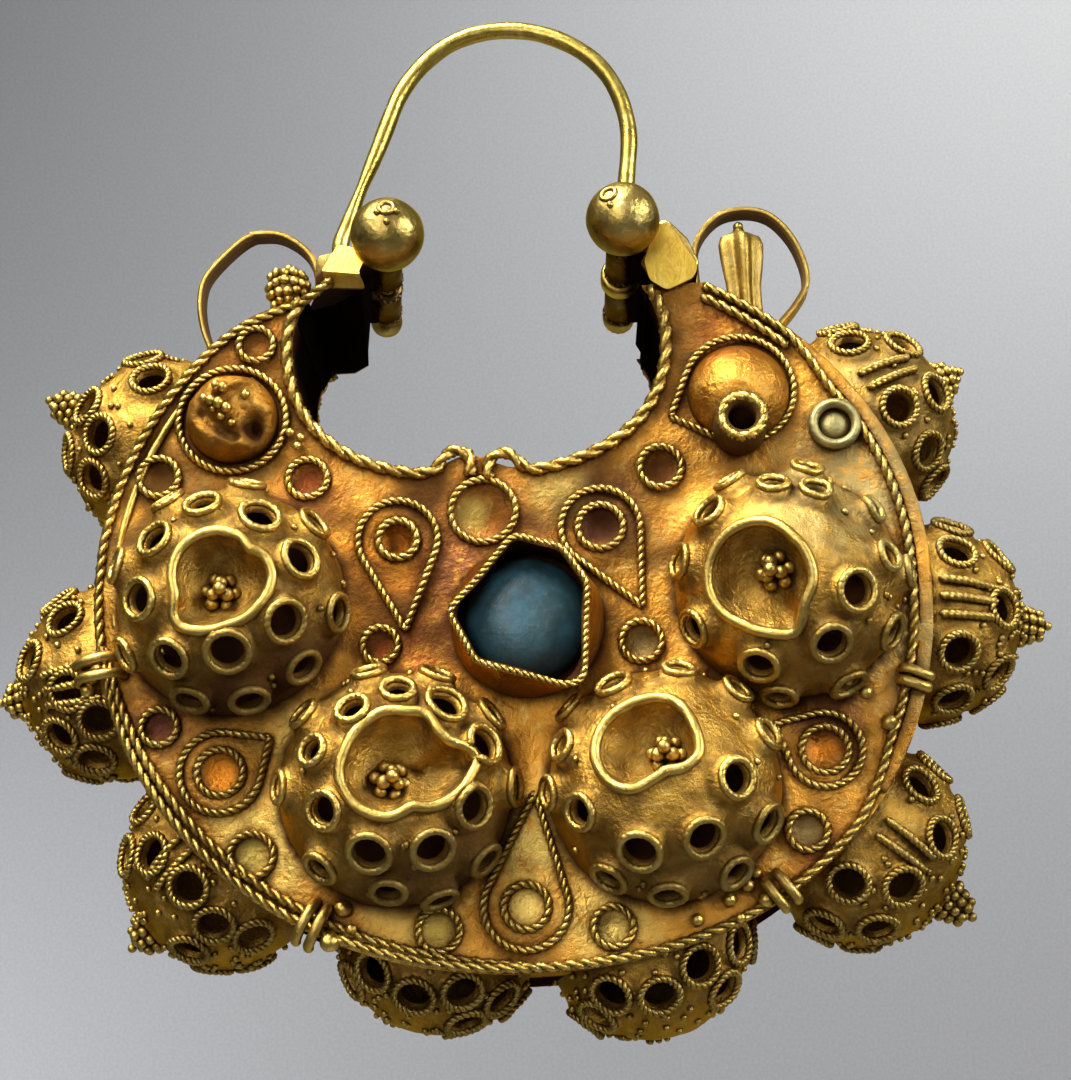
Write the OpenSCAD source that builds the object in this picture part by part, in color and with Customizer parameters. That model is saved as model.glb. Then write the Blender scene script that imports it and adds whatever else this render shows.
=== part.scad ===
// Filigree earring: a hollow crescent box of sheet gold with openwork domes and a hinged wire hoop.
// X runs to the wearer's view right, Z up, and the front faces -Y.
// The origin is where the hoop hangs: under the top of its wire.

/* [Crescent box] */
// Width of the front and back plates
plate_w = 36.6; // [36:0.1:37.2]
// Height of the left horn's outline above the widest line
left_rise = 16.8; // [16.6:0.1:17]
// Height of the right horn's outline above the widest line
right_rise = 15.8; // [15.6:0.1:16]
// Depth of the outline below the widest line
plate_drop = 16.8; // [16.4:0.1:17.2]
// Depth of the box over both plates
box_depth = 10; // [9.8:0.1:10.2]
// Thickness of the sheet
sheet = 0.3; // [0.25:0.05:0.35]
// How far the outer band stands inside the edge of the plates
band_inset = 0.45; // [0.4:0.05:0.5]
// Width of the throat between the horns
throat_w = 16.5; // [16:0.1:17]
// How far the throat's middle lies to the left
throat_shift = 1.1; // [0.9:0.1:1.3]
// Height of the left horn's tip above the widest line
left_tip = 13.7; // [13.5:0.1:13.8]
// Height of the right horn's tip above the widest line
right_tip = 13.5; // [13.3:0.1:13.5]

/* [Domes] */
// Radius of the large domes on the front and back
dome_r = 5.05; // [4.95:0.05:5.1]
// Radius of the domes round the band
belt_dome_r = 4.55; // [4.4:0.05:4.6]
// Wall of the domes
dome_wall = 0.3; // [0.25:0.05:0.35]
// Radius of the dish in the top of a large dome
dish_r = 2.4; // [2.2:0.1:2.6]
// Depth of that dish
dish_depth = 1.3; // [1.1:0.1:1.4]
// Radius of the pierced holes
hole_r = 0.6; // [0.5:0.05:0.65]

/* [Stone and bezel] */
// Height of the bezel above the plate
bezel_h = 3; // [2.8:0.1:3.2]
// Radius of the bezel's foot
bezel_foot_r = 3.35; // [3.2:0.05:3.4]
// Wall of the bezel
bezel_wall = 0.35; // [0.3:0.05:0.4]
// Radius of the stone's foot
stone_r = 2.75; // [2.6:0.05:2.75]
// Height of the stone
stone_h = 2.2; // [2:0.1:2.4]

/* [Hoop and pins] */
// Diameter of the hoop wire
hoop_wire = 0.85; // [0.8:0.05:0.9]
// Radius of the hoop's round top, to the middle of the wire
hoop_r = 5.85; // [5.7:0.05:6]
// Height of the middle of that round top above the widest line
hoop_rise = 23.5; // [23:0.1:24]
// Diameter of the pins
pin_d = 0.8; // [0.7:0.05:0.8]
// Running clearance round the hinge pin, on the radius
pin_play = 0.05; // [0.03:0.01:0.08]
// Radius of the large ball on the front of each pin
ball_r = 1.65; // [1.5:0.05:1.7]

/* [Wire ornament] */
// Width of the rope wire round the edges
rim_w = 0.5; // [0.4:0.05:0.6]
// Height of the rim and ornament wires above the plate
wire_h = 0.35; // [0.3:0.05:0.4]
// Width of the wire of the small rings and teardrops
ring_wire = 0.35; // [0.3:0.05:0.4]

/* [Hidden] */
$fn = 48;

gold = "goldenrod";
pale_gold = "khaki";
// Space left between pieces that are soldered on the real object
gap = 0.03;
// Half the depth of the box, to the outer face of a plate
face = box_depth / 2;

// Quarters of the outline, anticlockwise from the right: height and squareness
RISE = 0;
SQUARE = 1;
QUARTERS = [
    [right_rise, 2],
    [left_rise, 2],
    [plate_drop, 2.05],
    [plate_drop, 2.25]
];
outline_steps = 96;

// Throat between the horns: height of its widest line, and its reach below and above that
throat_z = 11.4;
throat_low = 6.2;
throat_high = 5.2;
throat_square = 2.4;
// Small rise in the middle of the throat's lower edge: its place, height and width
rise_x = -1.6;
rise_h = 0.8;
rise_w = 1.3;
// Dent of the left shoulder, below the cap: where, how deep and how wide
dent_x = -8.2;
dent_h = 1;
dent_w = 2.6;
throat_steps = 90;
throat_band_inset = 0.1;
// How far the hollow stops short of the horn tips
tip_metal = 1.6;

// Large domes: place of each on the plates, and how far and which way the top of a front one leans
X = 0;
Z = 1;
LEAN = 2;
TOWARDS = 3;
BIG_DOMES = [
    [-12.2, -0.3, 5, -24],
    [-5.3, -8.8, 5, 26],
    [6.1, -9.2, 10, 114],
    [12.0, -0.8, 16, 200]
];

// Domes round the band: direction from the middle, how deep the centre sits inside the edge,
// and 1 where a cone of granules stands on the top
ANGLE = 0;
SEAT = 1;
CONE = 2;
BELT_DOMES = [
    [152.4, 0, 1],
    [187.7, 0, 1],
    [219.5, 0.5, 1],
    [254.5, 2, 0],
    [288.9, 1.4, 0],
    [322.5, -0.4, 1],
    [355.1, -0.2, 1],
    [25.8, -0.3, 1]
];

// Rows of pierced holes: angle from the dome's axis, how many, and turn of the first
TILT = 0;
COUNT = 1;
TURN = 2;
FRONT_ROWS = [[46, 9, 10], [71, 6, 30]];
BACK_ROWS = [[52, 3, 30]];
BELT_ROWS = [[52, 6, 0]];

// Cones of granules: foot and top radius, and height
FOOT_R = 0;
TOP_R = 1;
HEIGHT = 2;
DISH_GRANULES = [0.8, 0.25, 1.5];
BELT_GRANULES = [0.9, 0.3, 0.95];
KNOB_GRANULES = [0.6, 0.35, 1.2];

// Small wire rings on the front plate: place and radius to the middle of the wire
R = 2;
RINGS = [
    [-15.4, 5.6, 0.85],
    [-8.8, 5.2, 0.85],
    [-11.0, 11.6, 0.75],
    [-1.1, 3.3, 1.4],
    [6.8, 4.9, 0.9],
    [14.6, 6.4, 1.0],
    [5.5, -2.9, 0.85],
    [-5.8, -2.5, 0.75],
    [-15.4, -5.6, 0.75],
    [-11.5, -11.3, 0.9],
    [-3.7, -14.8, 0.85],
    [3.6, -15.0, 0.75],
    [12.0, -11.4, 0.8]
];

// Wire teardrops: place and radius of the round end, direction and distance of the point,
// and radius of the ring inside it (0 where there is none)
POINT = 3;
REACH = 4;
INNER = 5;
RIGHT_FRAME = [10.5, 8.3, 2.45, 200, 3.3, 0];
TEARDROPS = [
    [-4.9, 2.2, 1.75, -87, 4.1, 0.85],
    [4.0, 2.3, 1.75, -66, 4.0, 1.0],
    [-12.8, -7.7, 1.75, 33, 2.6, 1.0],
    [0, -14.0, 1.8, 83, 4.8, 0.95],
    [13.0, -8.0, 1.6, 150, 2.4, 1.0],
    RIGHT_FRAME
];
rope_circle_r = 2.4;

// Plain domes on the horns
LEFT_HORN = [-12.1, 8.1];
RIGHT_HORN = [10.5, 8.1];
BACK_HORNS = [[-12.1, 8.5], [10.9, 8.1]];
front_horn_r = 1.9;
back_horn_r = 2.8;
KNOB = [-12.4, 8.3];
knob_foot = 1.3;
collar_r = 1.05;
collar_bore_r = 0.56;
collar_h = 2.3;
collar_drop = 1.7;

// Bezel: middle of its foot, and the bent corners of its rim
BEZEL = [0.6, -1.8];
RIM_CORNERS = [
    [0.2, 1.5],
    [2.3, 0.9],
    [3.4, -0.8],
    [3.0, -5.1],
    [2.3, -5.4],
    [-1.7, -4.1],
    [-2.8, -1.8]
];
rim_slab = 0.05;
// The stone is a full dome, squarer than a ball
stone_square = 2.6;
stone_steps = 12;

// Arches of bent strip on the band, along their middle line in front view
LEFT_ARCH = [
    [-12.9, 8.5],
    [-13.9, 12.6],
    [-14.45, 14.4],
    [-14.55, 16.0],
    [-14.1, 17.2],
    [-12.5, 18.75],
    [-11.3, 19.0],
    [-10.2, 18.8],
    [-9.1, 17.9],
    [-8.65, 16.6],
    [-8.75, 15.2],
    [-9.15, 14.2],
    [-9.2, 12]
];
RIGHT_ARCH = [
    [9.2, 12],
    [9.35, 14.5],
    [9.35, 17.3],
    [10.3, 18.8],
    [11.7, 19.1],
    [13.0, 18.7],
    [14.0, 17.4],
    [14.5, 16.0],
    [14.5, 14.9],
    [13.9, 13.9],
    [12.8, 12.6],
    [11.8, 10.5]
];
arch_steps = 5;
strip = 0.4;
strip_w = 1.3;
// Posts inside them, as radius and height up the post: a cup on the left, a post with a knob on the right
left_post_x = -10.15;
LEFT_POST = [[0, 8], [0.5, 8], [0.5, 15.2], [1.0, 16.6], [1.0, 17.0], [0.5, 17.6], [0, 17.6]];
right_post_x = 11.6;
RIGHT_POST = [
    [0, 8],
    [0.7, 8],
    [0.7, 15],
    [0.95, 16.9],
    [0.95, 17.3],
    [0.5, 17.8],
    [0.25, 17.9],
    [0.25, 18.4],
    [0, 18.4]
];

// Small loops across the front rim: direction from the middle, and how far inside the edge they stand
IN = 1;
RIM_LOOPS = [
    [190, 0.1],
    [240.5, 0.4],
    [304, 0.4],
    [344, 0.7]
];
rim_loop_r = 0.95;
rim_loop_wire = 0.45;

// Caps on the horn tips: outline seen from the front
cap_left = -8.4;
LEFT_CAP = [
    [-8.8, left_tip + gap],
    [cap_left, 14.5],
    [cap_left, 16.1],
    [-8.2, 16.3],
    [-6.05, 16.3],
    [-5.55, 14.8],
    [-6.2, 14.1],
    [-7.55, left_tip + gap]
];
RIGHT_CAP = [
    [6.5, 14.5],
    [7.0, right_tip + gap],
    [8.7, right_tip + gap],
    [9.15, 14.4],
    [8.7, 15.6],
    [7.9, 16.5],
    [7.2, 15.9]
];
cap_front = 0.35;
// How far a cap's corners are drawn in for its hollow, so that its sides keep about the sheet
cap_draw = 1.3 * sheet;
// Size of the folded front corner of the left cap, along its slope
cap_fold = 1.6;
// Its throat side leans away from the pin's front end towards the back
cap_right = -5.55;
cap_taper = 7;
cap_tall = 60;
// Hole in the left cap that the hoop's end drops into
socket_r = 0.6;
socket_z = 15.4;
socket_h = 3;

// Pins: places in front view at half depth, balls, and the tubes that hold them
LEFT_PIN = [-5.4, 16.3];
RIGHT_PIN = [5.75, 15.95];
// Turn of the left pin, which runs back to the left, and its slope, front end down
left_turn = 5;
left_slope = 4;
ball_out = 2;
small_ball_r = 0.8;
middle_ball_r = 0.55;
drum_r = 0.82;
tube_r = 0.72;
tube_in = 0.65;
tube_out = 4.5;
// Lugs that join the tubes to the caps: height, drop below the pin, and where they end
lug_h = 0.7;
lug_drop = 0.6;
left_lug_x = -6.6;
right_lug_x = 7.5;
// Space round a pin that is fixed in its tubes
fixed_play = 0.02;
// Rear ends of the pins, past the face of the box
drum_end = 0.6;
catch_end = 1;
small_ball_end = 1.25;
eye_r = 0.95;
eye_w = 1.0;

// Hoop: round top between the two straight legs, and the end that drops into the left cap
hoop_x = 0.75;
left_lean = 22;
right_lean = 8;
tip_x = -7.6;
tip_z = 15.5;
elbow_r = 1.5;
// The straight legs are a hair thinner than the bends, and run this far into them
leg_wire = hoop_wire - 0.02;
lap = 0.1;

function power(v, p) = sign(v) * pow(abs(v), p);

// A point of the outline, drawn in by inset, with the dent of the left shoulder
function outline_point(angle, inset) =
    let (
        q = QUARTERS[floor(angle / 90) % 4],
        p = 2 / q[SQUARE],
        x = (plate_w / 2 - inset) * power(cos(angle), p),
        dent = sin(angle) > 0 ? dent_h * exp(-pow((x - dent_x) / dent_w, 2)) : 0
    )
    [x, (q[RISE] - inset) * power(sin(angle), p) - dent];

// A point of the throat, grown by inset into the plate
function throat_point(angle, inset) =
    let (
        low = angle > 180,
        p = low ? 2 / throat_square : 1,
        h = (low ? throat_low : throat_high) + inset,
        x = (throat_w / 2 + inset) * power(cos(angle), p) - throat_shift,
        rise = low ? rise_h * exp(-pow((x - rise_x) / rise_w, 2)) : 0
    )
    [x, throat_z + h * power(sin(angle), p) + rise];

function on_arc(centre, r, angle) = [centre[X] + r * cos(angle), centre[Z] + r * sin(angle)];

// Round end with two straight sides that meet in a point
function teardrop_points(t, r) =
    let (
        reach = t[REACH] * r / t[R],
        open = acos(r / reach)
    )
    concat(
        [on_arc(t, reach, t[POINT])],
        [for (i = [0:20]) on_arc(t, r, t[POINT] + open + i * (360 - 2 * open) / 20)]
    );

// Puts the model's hanging place on the origin
module hung() {
    translate([-hoop_x, 0, -(hoop_rise + hoop_r - hoop_wire / 2)]) children();
}

// Stands a flat outline up in front view and gives it depth from y0 to y1
module slab(y0, y1) {
    rotate([90, 0, 0]) translate([0, 0, -y1]) linear_extrude(y1 - y0) children();
}

module rod(at, r, y0, y1) {
    slab(y0, y1) translate([at[X], at[Z]]) circle(r);
}

module outline(inset) {
    polygon([for (i = [0:outline_steps - 1]) outline_point(i * 360 / outline_steps, inset)]);
}

module throat(inset) {
    polygon([for (i = [0:throat_steps - 1]) throat_point(i * 360 / throat_steps, inset)]);
}

// The crescent with horns cut level at their tips
module crescent(outer_inset, throat_inset, tips, y0, y1) {
    difference() {
        slab(y0, y1) outline(outer_inset);
        slab(y0 - 1, y1 + 1) throat(throat_inset);
        translate([-plate_w, y0 - 1, left_tip - tips])
            cube([plate_w - throat_shift, y1 - y0 + 2, plate_w]);
        translate([-throat_shift - 1, y0 - 1, right_tip - tips])
            cube([plate_w, y1 - y0 + 2, plate_w]);
    }
}

// Rope wire round the edges, or with by the space it needs
module rim(y0, y1, by = 0) {
    in = rim_w + by;
    difference() {
        crescent(-by, -by, -by, y0, y1);
        crescent(in, in, in, y0 - 1, y1 + 1);
    }
}

module wire_ring(at, r, y0, y1) {
    difference() {
        rod(at, r + ring_wire / 2, y0, y1);
        rod(at, r - ring_wire / 2, y0 - 1, y1 + 1);
    }
}

// Teardrop of wire, or with by the space it needs
module wire_teardrop(t, y0, y1, by = 0) {
    difference() {
        slab(y0, y1) polygon(teardrop_points(t, t[R] + ring_wire / 2 + by));
        slab(y0 - 1, y1 + 1) polygon(teardrop_points(t, t[R] - ring_wire / 2 - by));
    }
}

module case() {
    front = -face - wire_h;
    seat = -face + sheet / 2;
    color(gold) hung() {
        difference() {
            union() {
                crescent(band_inset, throat_band_inset, 0, -face + sheet / 2, face - sheet / 2);
                crescent(0, 0, 0, -face, -face + sheet);
                crescent(0, 0, 0, face - sheet, face);
                rim(front, seat);
                rim(-seat, -front);
            }
            crescent(band_inset + sheet, throat_band_inset + sheet, tip_metal, -face + sheet, face - sheet);
        }
        for (r = RINGS) wire_ring(r, r[R], front, seat);
        for (t = TEARDROPS) {
            wire_teardrop(t, front, seat);
            if (t[INNER] > 0) wire_ring(t, t[INNER], front, seat);
        }
        wire_ring(LEFT_HORN, rope_circle_r, front, seat);
    }
}

// Holes that point outward from a dome's centre
module pierced(rows, r) {
    for (row = rows, i = [0:row[COUNT] - 1])
        rotate([0, row[TILT], row[TURN] + i * 360 / row[COUNT]])
            translate([0, 0, r - 4 * dome_wall]) cylinder(r = hole_r, h = 10 * dome_wall);
}

module granules(g, z) {
    translate([0, 0, z]) cylinder(r1 = g[FOOT_R], r2 = g[TOP_R], h = g[HEIGHT]);
}

// Openwork dome that stands on z = 0, with a dish and a cone of granules in its top, which leans
module big_dome(rows, lean, towards) {
    rim_z = sqrt(dome_r * dome_r - dish_r * dish_r);
    bowl_r = (dish_r * dish_r + dish_depth * dish_depth) / (2 * dish_depth);
    bowl_z = rim_z + bowl_r - dish_depth;
    side = 4 * dome_r;
    difference() {
        rotate([0, 0, towards]) rotate([0, lean, 0]) rotate([0, 0, -towards]) {
            difference() {
                sphere(dome_r);
                translate([-side / 2, -side / 2, rim_z]) cube(side);
                difference() {
                    sphere(dome_r - dome_wall);
                    translate([0, 0, bowl_z]) sphere(bowl_r + dome_wall);
                }
                translate([0, 0, bowl_z]) sphere(bowl_r);
                pierced(rows, dome_r);
            }
            granules(DISH_GRANULES, rim_z - dish_depth - dome_wall / 2);
        }
        translate([-side / 2, -side / 2, -side]) cube(side);
    }
}

module front_dome(i) {
    at = BIG_DOMES[i - 1];
    color(gold) hung() translate([at[X], -face - gap, at[Z]]) rotate([90, 0, 0])
        big_dome(FRONT_ROWS, at[LEAN], at[TOWARDS]);
}

module back_dome(i) {
    at = BIG_DOMES[i - 1];
    color(gold) hung() translate([at[X], face + gap, at[Z]]) rotate([-90, 0, 0])
        big_dome(BACK_ROWS, 0, 0);
}

// Puts something at the middle of a dome on the band, its top outward
module on_belt(d) {
    rotate([0, 90 - d[ANGLE], 0]) translate([0, 0, norm(outline_point(d[ANGLE], 0)) - d[SEAT]]) children();
}

// Openwork dome on the band, trimmed to the band's curve
module belt_dome(i) {
    d = BELT_DOMES[i - 1];
    color(gold) hung() difference() {
        on_belt(d) {
            difference() {
                sphere(belt_dome_r);
                sphere(belt_dome_r - dome_wall);
                pierced(BELT_ROWS, belt_dome_r);
            }
            if (d[CONE] > 0) granules(BELT_GRANULES, belt_dome_r - dome_wall / 2);
        }
        slab(-face, face) outline(band_inset - gap);
    }
}

// Plain domed boss on a plate, out of the front for side -1 and out of the back for side 1
module plain_dome(at, r, side) {
    translate([at[X], side * (face + gap), at[Z]]) rotate([-90 * side, 0, 0]) difference() {
        sphere(r);
        sphere(r - dome_wall);
        translate([-r - 1, -r - 1, -2 * r - 2]) cube(2 * r + 2);
    }
}

// Plain dome on the back of a horn, cut back where the rope wire of the edge runs under it
module back_horn_dome(i) {
    at = BACK_HORNS[i - 1];
    color(gold) hung() difference() {
        translate([at[X], face + gap, at[Z]]) rotate([-90, 0, 0]) difference() {
            sphere(back_horn_r);
            translate([0, 0, -plate_w / 2]) cube(plate_w, center = true);
        }
        difference() {
            translate([at[X], face + gap, at[Z]]) sphere(back_horn_r - dome_wall);
            rim(face - 1, face + wire_h + gap + dome_wall, gap + dome_wall);
        }
        rim(face - 1, face + wire_h + gap, gap);
    }
}

module front_horn_dome_left() {
    color(gold) hung() {
        plain_dome(LEFT_HORN, front_horn_r, -1);
        translate([KNOB[X], -face, KNOB[Z]]) rotate([90, 0, 0]) granules(KNOB_GRANULES, knob_foot);
    }
}

module front_horn_dome_right() {
    color(gold) hung() plain_dome(RIGHT_HORN, front_horn_r, -1);
}

module ring_collar() {
    at = [RIGHT_HORN[X], RIGHT_HORN[Z] - collar_drop];
    color(gold) hung() difference() {
        rod(at, collar_r, -face - collar_h, -face - gap);
        rod(at, collar_bore_r, -face - collar_h - 1, -face + 1);
        translate([RIGHT_HORN[X], -face, RIGHT_HORN[Z]]) sphere(front_horn_r + gap);
        wire_teardrop(RIGHT_FRAME, -face - wire_h - gap, -face + 1, gap);
    }
}

module bezel_form(foot_r, shrink) {
    hull() {
        slab(-face - gap - rim_slab, -face - gap) translate([BEZEL[X], BEZEL[Z]]) circle(foot_r, $fn = 32);
        slab(-face - bezel_h, -face - bezel_h + rim_slab) rim_outline(shrink);
    }
}

// The rim's corners drawn towards the middle of the bezel
module rim_outline(shrink) {
    polygon([for (c = RIM_CORNERS)
        let (d = [c[X] - BEZEL[X], c[Z] - BEZEL[Z]]) [BEZEL[X], BEZEL[Z]] + d * (1 - shrink / norm(d))]);
}

module bezel() {
    color(gold) hung() difference() {
        bezel_form(bezel_foot_r, 0);
        hull() {
            slab(-face - gap - rim_slab, -face + 1) translate([BEZEL[X], BEZEL[Z]])
                circle(bezel_foot_r - bezel_wall, $fn = 32);
            slab(-face - bezel_h - 1, -face - bezel_h + rim_slab) rim_outline(bezel_wall);
        }
    }
}

module turquoise() {
    color("teal") hung() translate([BEZEL[X], -face - gap, BEZEL[Z]]) rotate([90, 0, 0]) rotate_extrude()
        polygon(concat([[0, 0]], [for (i = [0:stone_steps])
            let (a = i * 90 / stone_steps, p = 2 / stone_square)
            [stone_r * power(cos(a), p), stone_h * power(sin(a), p)]]));
}

module back_boss() {
    color(gold) hung() plain_dome(BEZEL, bezel_foot_r, 1);
}

// Point at share t of the way from b to c on a smooth line through a, b, c and d
function between(a, b, c, d, t) =
    (2 * b + (c - a) * t + (2 * a - 5 * b + 4 * c - d) * t * t + (3 * b - a - 3 * c + d) * t * t * t) / 2;

// Smooth line through a row of points, without its first and last stretch
function smooth_line(p) =
    [for (i = [1:len(p) - 3], k = [0:arch_steps - 1])
        between(p[i - 1], p[i], p[i + 1], p[i + 2], k / arch_steps)];

// Line moved sideways by a distance
function beside(line, by) =
    [for (i = [0:len(line) - 1])
        let (d = line[min(i + 1, len(line) - 1)] - line[max(i - 1, 0)])
        line[i] + by * [-d[Z], d[X]] / norm(d)];

// Strip bent into an arch whose legs stand on the band and beside the dome next to them
module belt_loop(arch, neighbour) {
    line = smooth_line(arch);
    inner = beside(line, -strip / 2);
    color(gold) hung() difference() {
        slab(-strip_w / 2, strip_w / 2) polygon(concat(
            beside(line, strip / 2),
            [for (i = [len(inner) - 1:-1:0]) inner[i]]
        ));
        slab(-face, face) outline(band_inset - gap);
        on_belt(neighbour) sphere(belt_dome_r + gap);
    }
}

module belt_cone(x, post) {
    color(gold) hung() difference() {
        translate([x, 0, 0]) rotate_extrude() polygon(post);
        slab(-face, face) outline(band_inset - gap);
    }
}

// Half ring of wire that stands across the front rim
module rim_loop(i) {
    l = RIM_LOOPS[i - 1];
    edge = outline_point(l[ANGLE], l[IN]);
    color(gold) hung() translate([edge[X], -face - wire_h - gap, edge[Z]])
        rotate([0, -l[ANGLE], 0]) rotate([90, 0, 0]) rotate([90, 0, 0])
            rotate_extrude(angle = 180) translate([rim_loop_r, 0]) circle(rim_loop_wire / 2, $fn = 24);
}

module cap_form(points) {
    slab(-face - cap_front, face + cap_front) polygon(points);
}

module cap_hollow(points) {
    slab(-face - cap_front + sheet, face + cap_front - sheet) polygon(drawn_in(points, cap_draw));
}

// The slope of the left cap's folded front corner, moved in for its inner side
module cap_slope(in) {
    size = cap_fold + 2 * in;
    translate([cap_left, -face - cap_front, 0]) rotate([0, 0, 45])
        cube([size, size, cap_tall], center = true);
}

// What the leaning throat side leaves off the left cap, moved in for its inner side
module cap_lean(in) {
    translate([cap_right, -face - cap_front, 0]) rotate([0, 0, cap_taper]) translate([-in, -1, 0])
        cube([4, 2 * face + 4, cap_tall]);
}

// Outline drawn towards its own middle by the thickness of the sheet
function drawn_in(points, by) =
    let (n = len(points), mid = [for (k = [0, 1]) total([for (p = points) p[k]]) / n])
    [for (p = points) mid + (p - mid) * (1 - by / norm(p - mid))];

function total(v, i = 0) = i < len(v) ? v[i] + total(v, i + 1) : 0;

// Puts something along a pin, whose middle is on the origin
module at_pin(pin, turn = 0, slope = 0) {
    translate([pin[X], 0, pin[Z]]) rotate([slope, 0, turn]) children();
}

// Two tubes round a pin, with lugs that run sideways to the cap
module pin_tubes(reach) {
    for (s = [-1, 1]) {
        y0 = s < 0 ? -tube_out : tube_in;
        y1 = s < 0 ? -tube_in : tube_out;
        rod([0, 0], tube_r, y0, y1);
        translate([min(0, reach), y0, -lug_drop]) cube([abs(reach), y1 - y0, lug_h]);
    }
}

module pin_bore() {
    rod([0, 0], pin_d / 2 + fixed_play, -face - 2, face + 2);
}

module horn_cap_left() {
    color(pale_gold) hung() difference() {
        union() {
            difference() {
                cap_form(LEFT_CAP);
                difference() {
                    cap_hollow(LEFT_CAP);
                    cap_slope(sheet);
                    cap_lean(sheet);
                }
                cap_slope(0);
                cap_lean(0);
            }
            at_pin(LEFT_PIN, left_turn, left_slope) pin_tubes(left_lug_x - LEFT_PIN[X]);
        }
        at_pin(LEFT_PIN, left_turn, left_slope) pin_bore();
        translate([tip_x, 0, socket_z]) cylinder(r = socket_r, h = socket_h);
    }
}

module horn_cap_right() {
    color(pale_gold) hung() difference() {
        union() {
            difference() {
                cap_form(RIGHT_CAP);
                cap_hollow(RIGHT_CAP);
            }
            at_pin(RIGHT_PIN) pin_tubes(right_lug_x - RIGHT_PIN[X]);
        }
        at_pin(RIGHT_PIN) pin_bore();
    }
}

module hinge_pin() {
    color(gold) hung() at_pin(RIGHT_PIN) {
        rod([0, 0], pin_d / 2, -face - ball_out, face);
        translate([0, -face - ball_out, 0]) sphere(ball_r);
        rod([0, 0], drum_r, tube_out + gap, face + drum_end);
    }
}

module catch_pin() {
    color(gold) hung() at_pin(LEFT_PIN, left_turn, left_slope) {
        rod([0, 0], pin_d / 2, -face - ball_out, face + catch_end);
        translate([0, -face - ball_out, 0]) sphere(ball_r);
        sphere(middle_ball_r);
        translate([0, face + small_ball_end, 0]) sphere(small_ball_r);
    }
}

// Straight wire between two places in front view, lapped at its ends
module leg(a, b) {
    d = b - a;
    translate([a[X], 0, a[Z]]) rotate([0, atan2(d[X], d[Z]), 0]) translate([0, 0, -lap])
        cylinder(d = leg_wire, h = norm(d) + 2 * lap);
}

// Wire bent round a middle, between two directions seen from the front
module bend(middle, r, from, to) {
    translate([middle[X], 0, middle[Z]]) rotate([90, 0, 0]) rotate([0, 0, from])
        rotate_extrude(angle = to - from) translate([r, 0]) circle(d = hoop_wire);
}

module ear_hoop() {
    middle = [hoop_x, hoop_rise];
    top_left = on_arc(middle, hoop_r, 180 - left_lean);
    top_right = on_arc(middle, hoop_r, -right_lean);
    // The left leg's lower bend turns it straight down into the cap
    sideways = top_left[X] - tip_x - elbow_r * (1 - cos(left_lean));
    elbow = [tip_x + elbow_r, top_left[Z] - elbow_r * sin(left_lean) - sideways / tan(left_lean)];
    color(pale_gold) hung() difference() {
        union() {
            bend(middle, hoop_r, -right_lean, 180 - left_lean);
            leg(top_left, on_arc(elbow, elbow_r, 180 - left_lean));
            bend(elbow, elbow_r, 180 - left_lean, 180);
            leg([tip_x, elbow[Z]], [tip_x, tip_z + lap]);
            leg(top_right, RIGHT_PIN);
            rod(RIGHT_PIN, eye_r, -eye_w / 2, eye_w / 2);
        }
        rod(RIGHT_PIN, pin_d / 2 + pin_play, -2, 2);
    }
}

case();
front_dome(1);  // front_dome_1
front_dome(2);  // front_dome_2
front_dome(3);  // front_dome_3
front_dome(4);  // front_dome_4
back_dome(1);  // back_dome_1
back_dome(2);  // back_dome_2
back_dome(3);  // back_dome_3
back_dome(4);  // back_dome_4
belt_dome(1);  // belt_dome_1
belt_dome(2);  // belt_dome_2
belt_dome(3);  // belt_dome_3
belt_dome(4);  // belt_dome_4
belt_dome(5);  // belt_dome_5
belt_dome(6);  // belt_dome_6
belt_dome(7);  // belt_dome_7
belt_dome(8);  // belt_dome_8
front_horn_dome_left();
front_horn_dome_right();
ring_collar();
back_horn_dome(1);  // back_horn_dome_left
back_horn_dome(2);  // back_horn_dome_right
bezel();
turquoise();
back_boss();
belt_loop(LEFT_ARCH, BELT_DOMES[0]);  // belt_loop_left
belt_loop(RIGHT_ARCH, BELT_DOMES[7]);  // belt_loop_right
belt_cone(left_post_x, LEFT_POST);  // belt_cone_left
belt_cone(right_post_x, RIGHT_POST);  // belt_cone_right
rim_loop(1);  // rim_loop_1
rim_loop(2);  // rim_loop_2
rim_loop(3);  // rim_loop_3
rim_loop(4);  // rim_loop_4
horn_cap_left();
horn_cap_right();
hinge_pin();
catch_pin();
ear_hoop();
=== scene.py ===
# Filigree earring: the detailed gold work, stone, hoop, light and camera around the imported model.
import math

import bmesh
import bpy
import numpy as np
from mathutils import Matrix, Vector, noise
from mathutils.geometry import delaunay_2d_cdt


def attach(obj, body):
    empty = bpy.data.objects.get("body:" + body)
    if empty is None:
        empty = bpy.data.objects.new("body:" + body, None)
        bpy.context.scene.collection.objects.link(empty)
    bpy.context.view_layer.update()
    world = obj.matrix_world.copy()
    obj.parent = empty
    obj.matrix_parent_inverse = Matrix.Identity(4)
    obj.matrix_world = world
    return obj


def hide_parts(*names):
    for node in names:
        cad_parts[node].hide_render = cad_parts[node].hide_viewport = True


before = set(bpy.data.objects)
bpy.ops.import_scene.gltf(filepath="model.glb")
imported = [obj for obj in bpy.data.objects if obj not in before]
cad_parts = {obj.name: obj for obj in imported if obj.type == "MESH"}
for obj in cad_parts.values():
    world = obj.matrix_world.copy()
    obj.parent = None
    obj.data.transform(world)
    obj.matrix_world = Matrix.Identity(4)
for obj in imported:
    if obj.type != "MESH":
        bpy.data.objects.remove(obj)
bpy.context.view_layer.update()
scene = bpy.context.scene
rng = np.random.default_rng(11)

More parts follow.
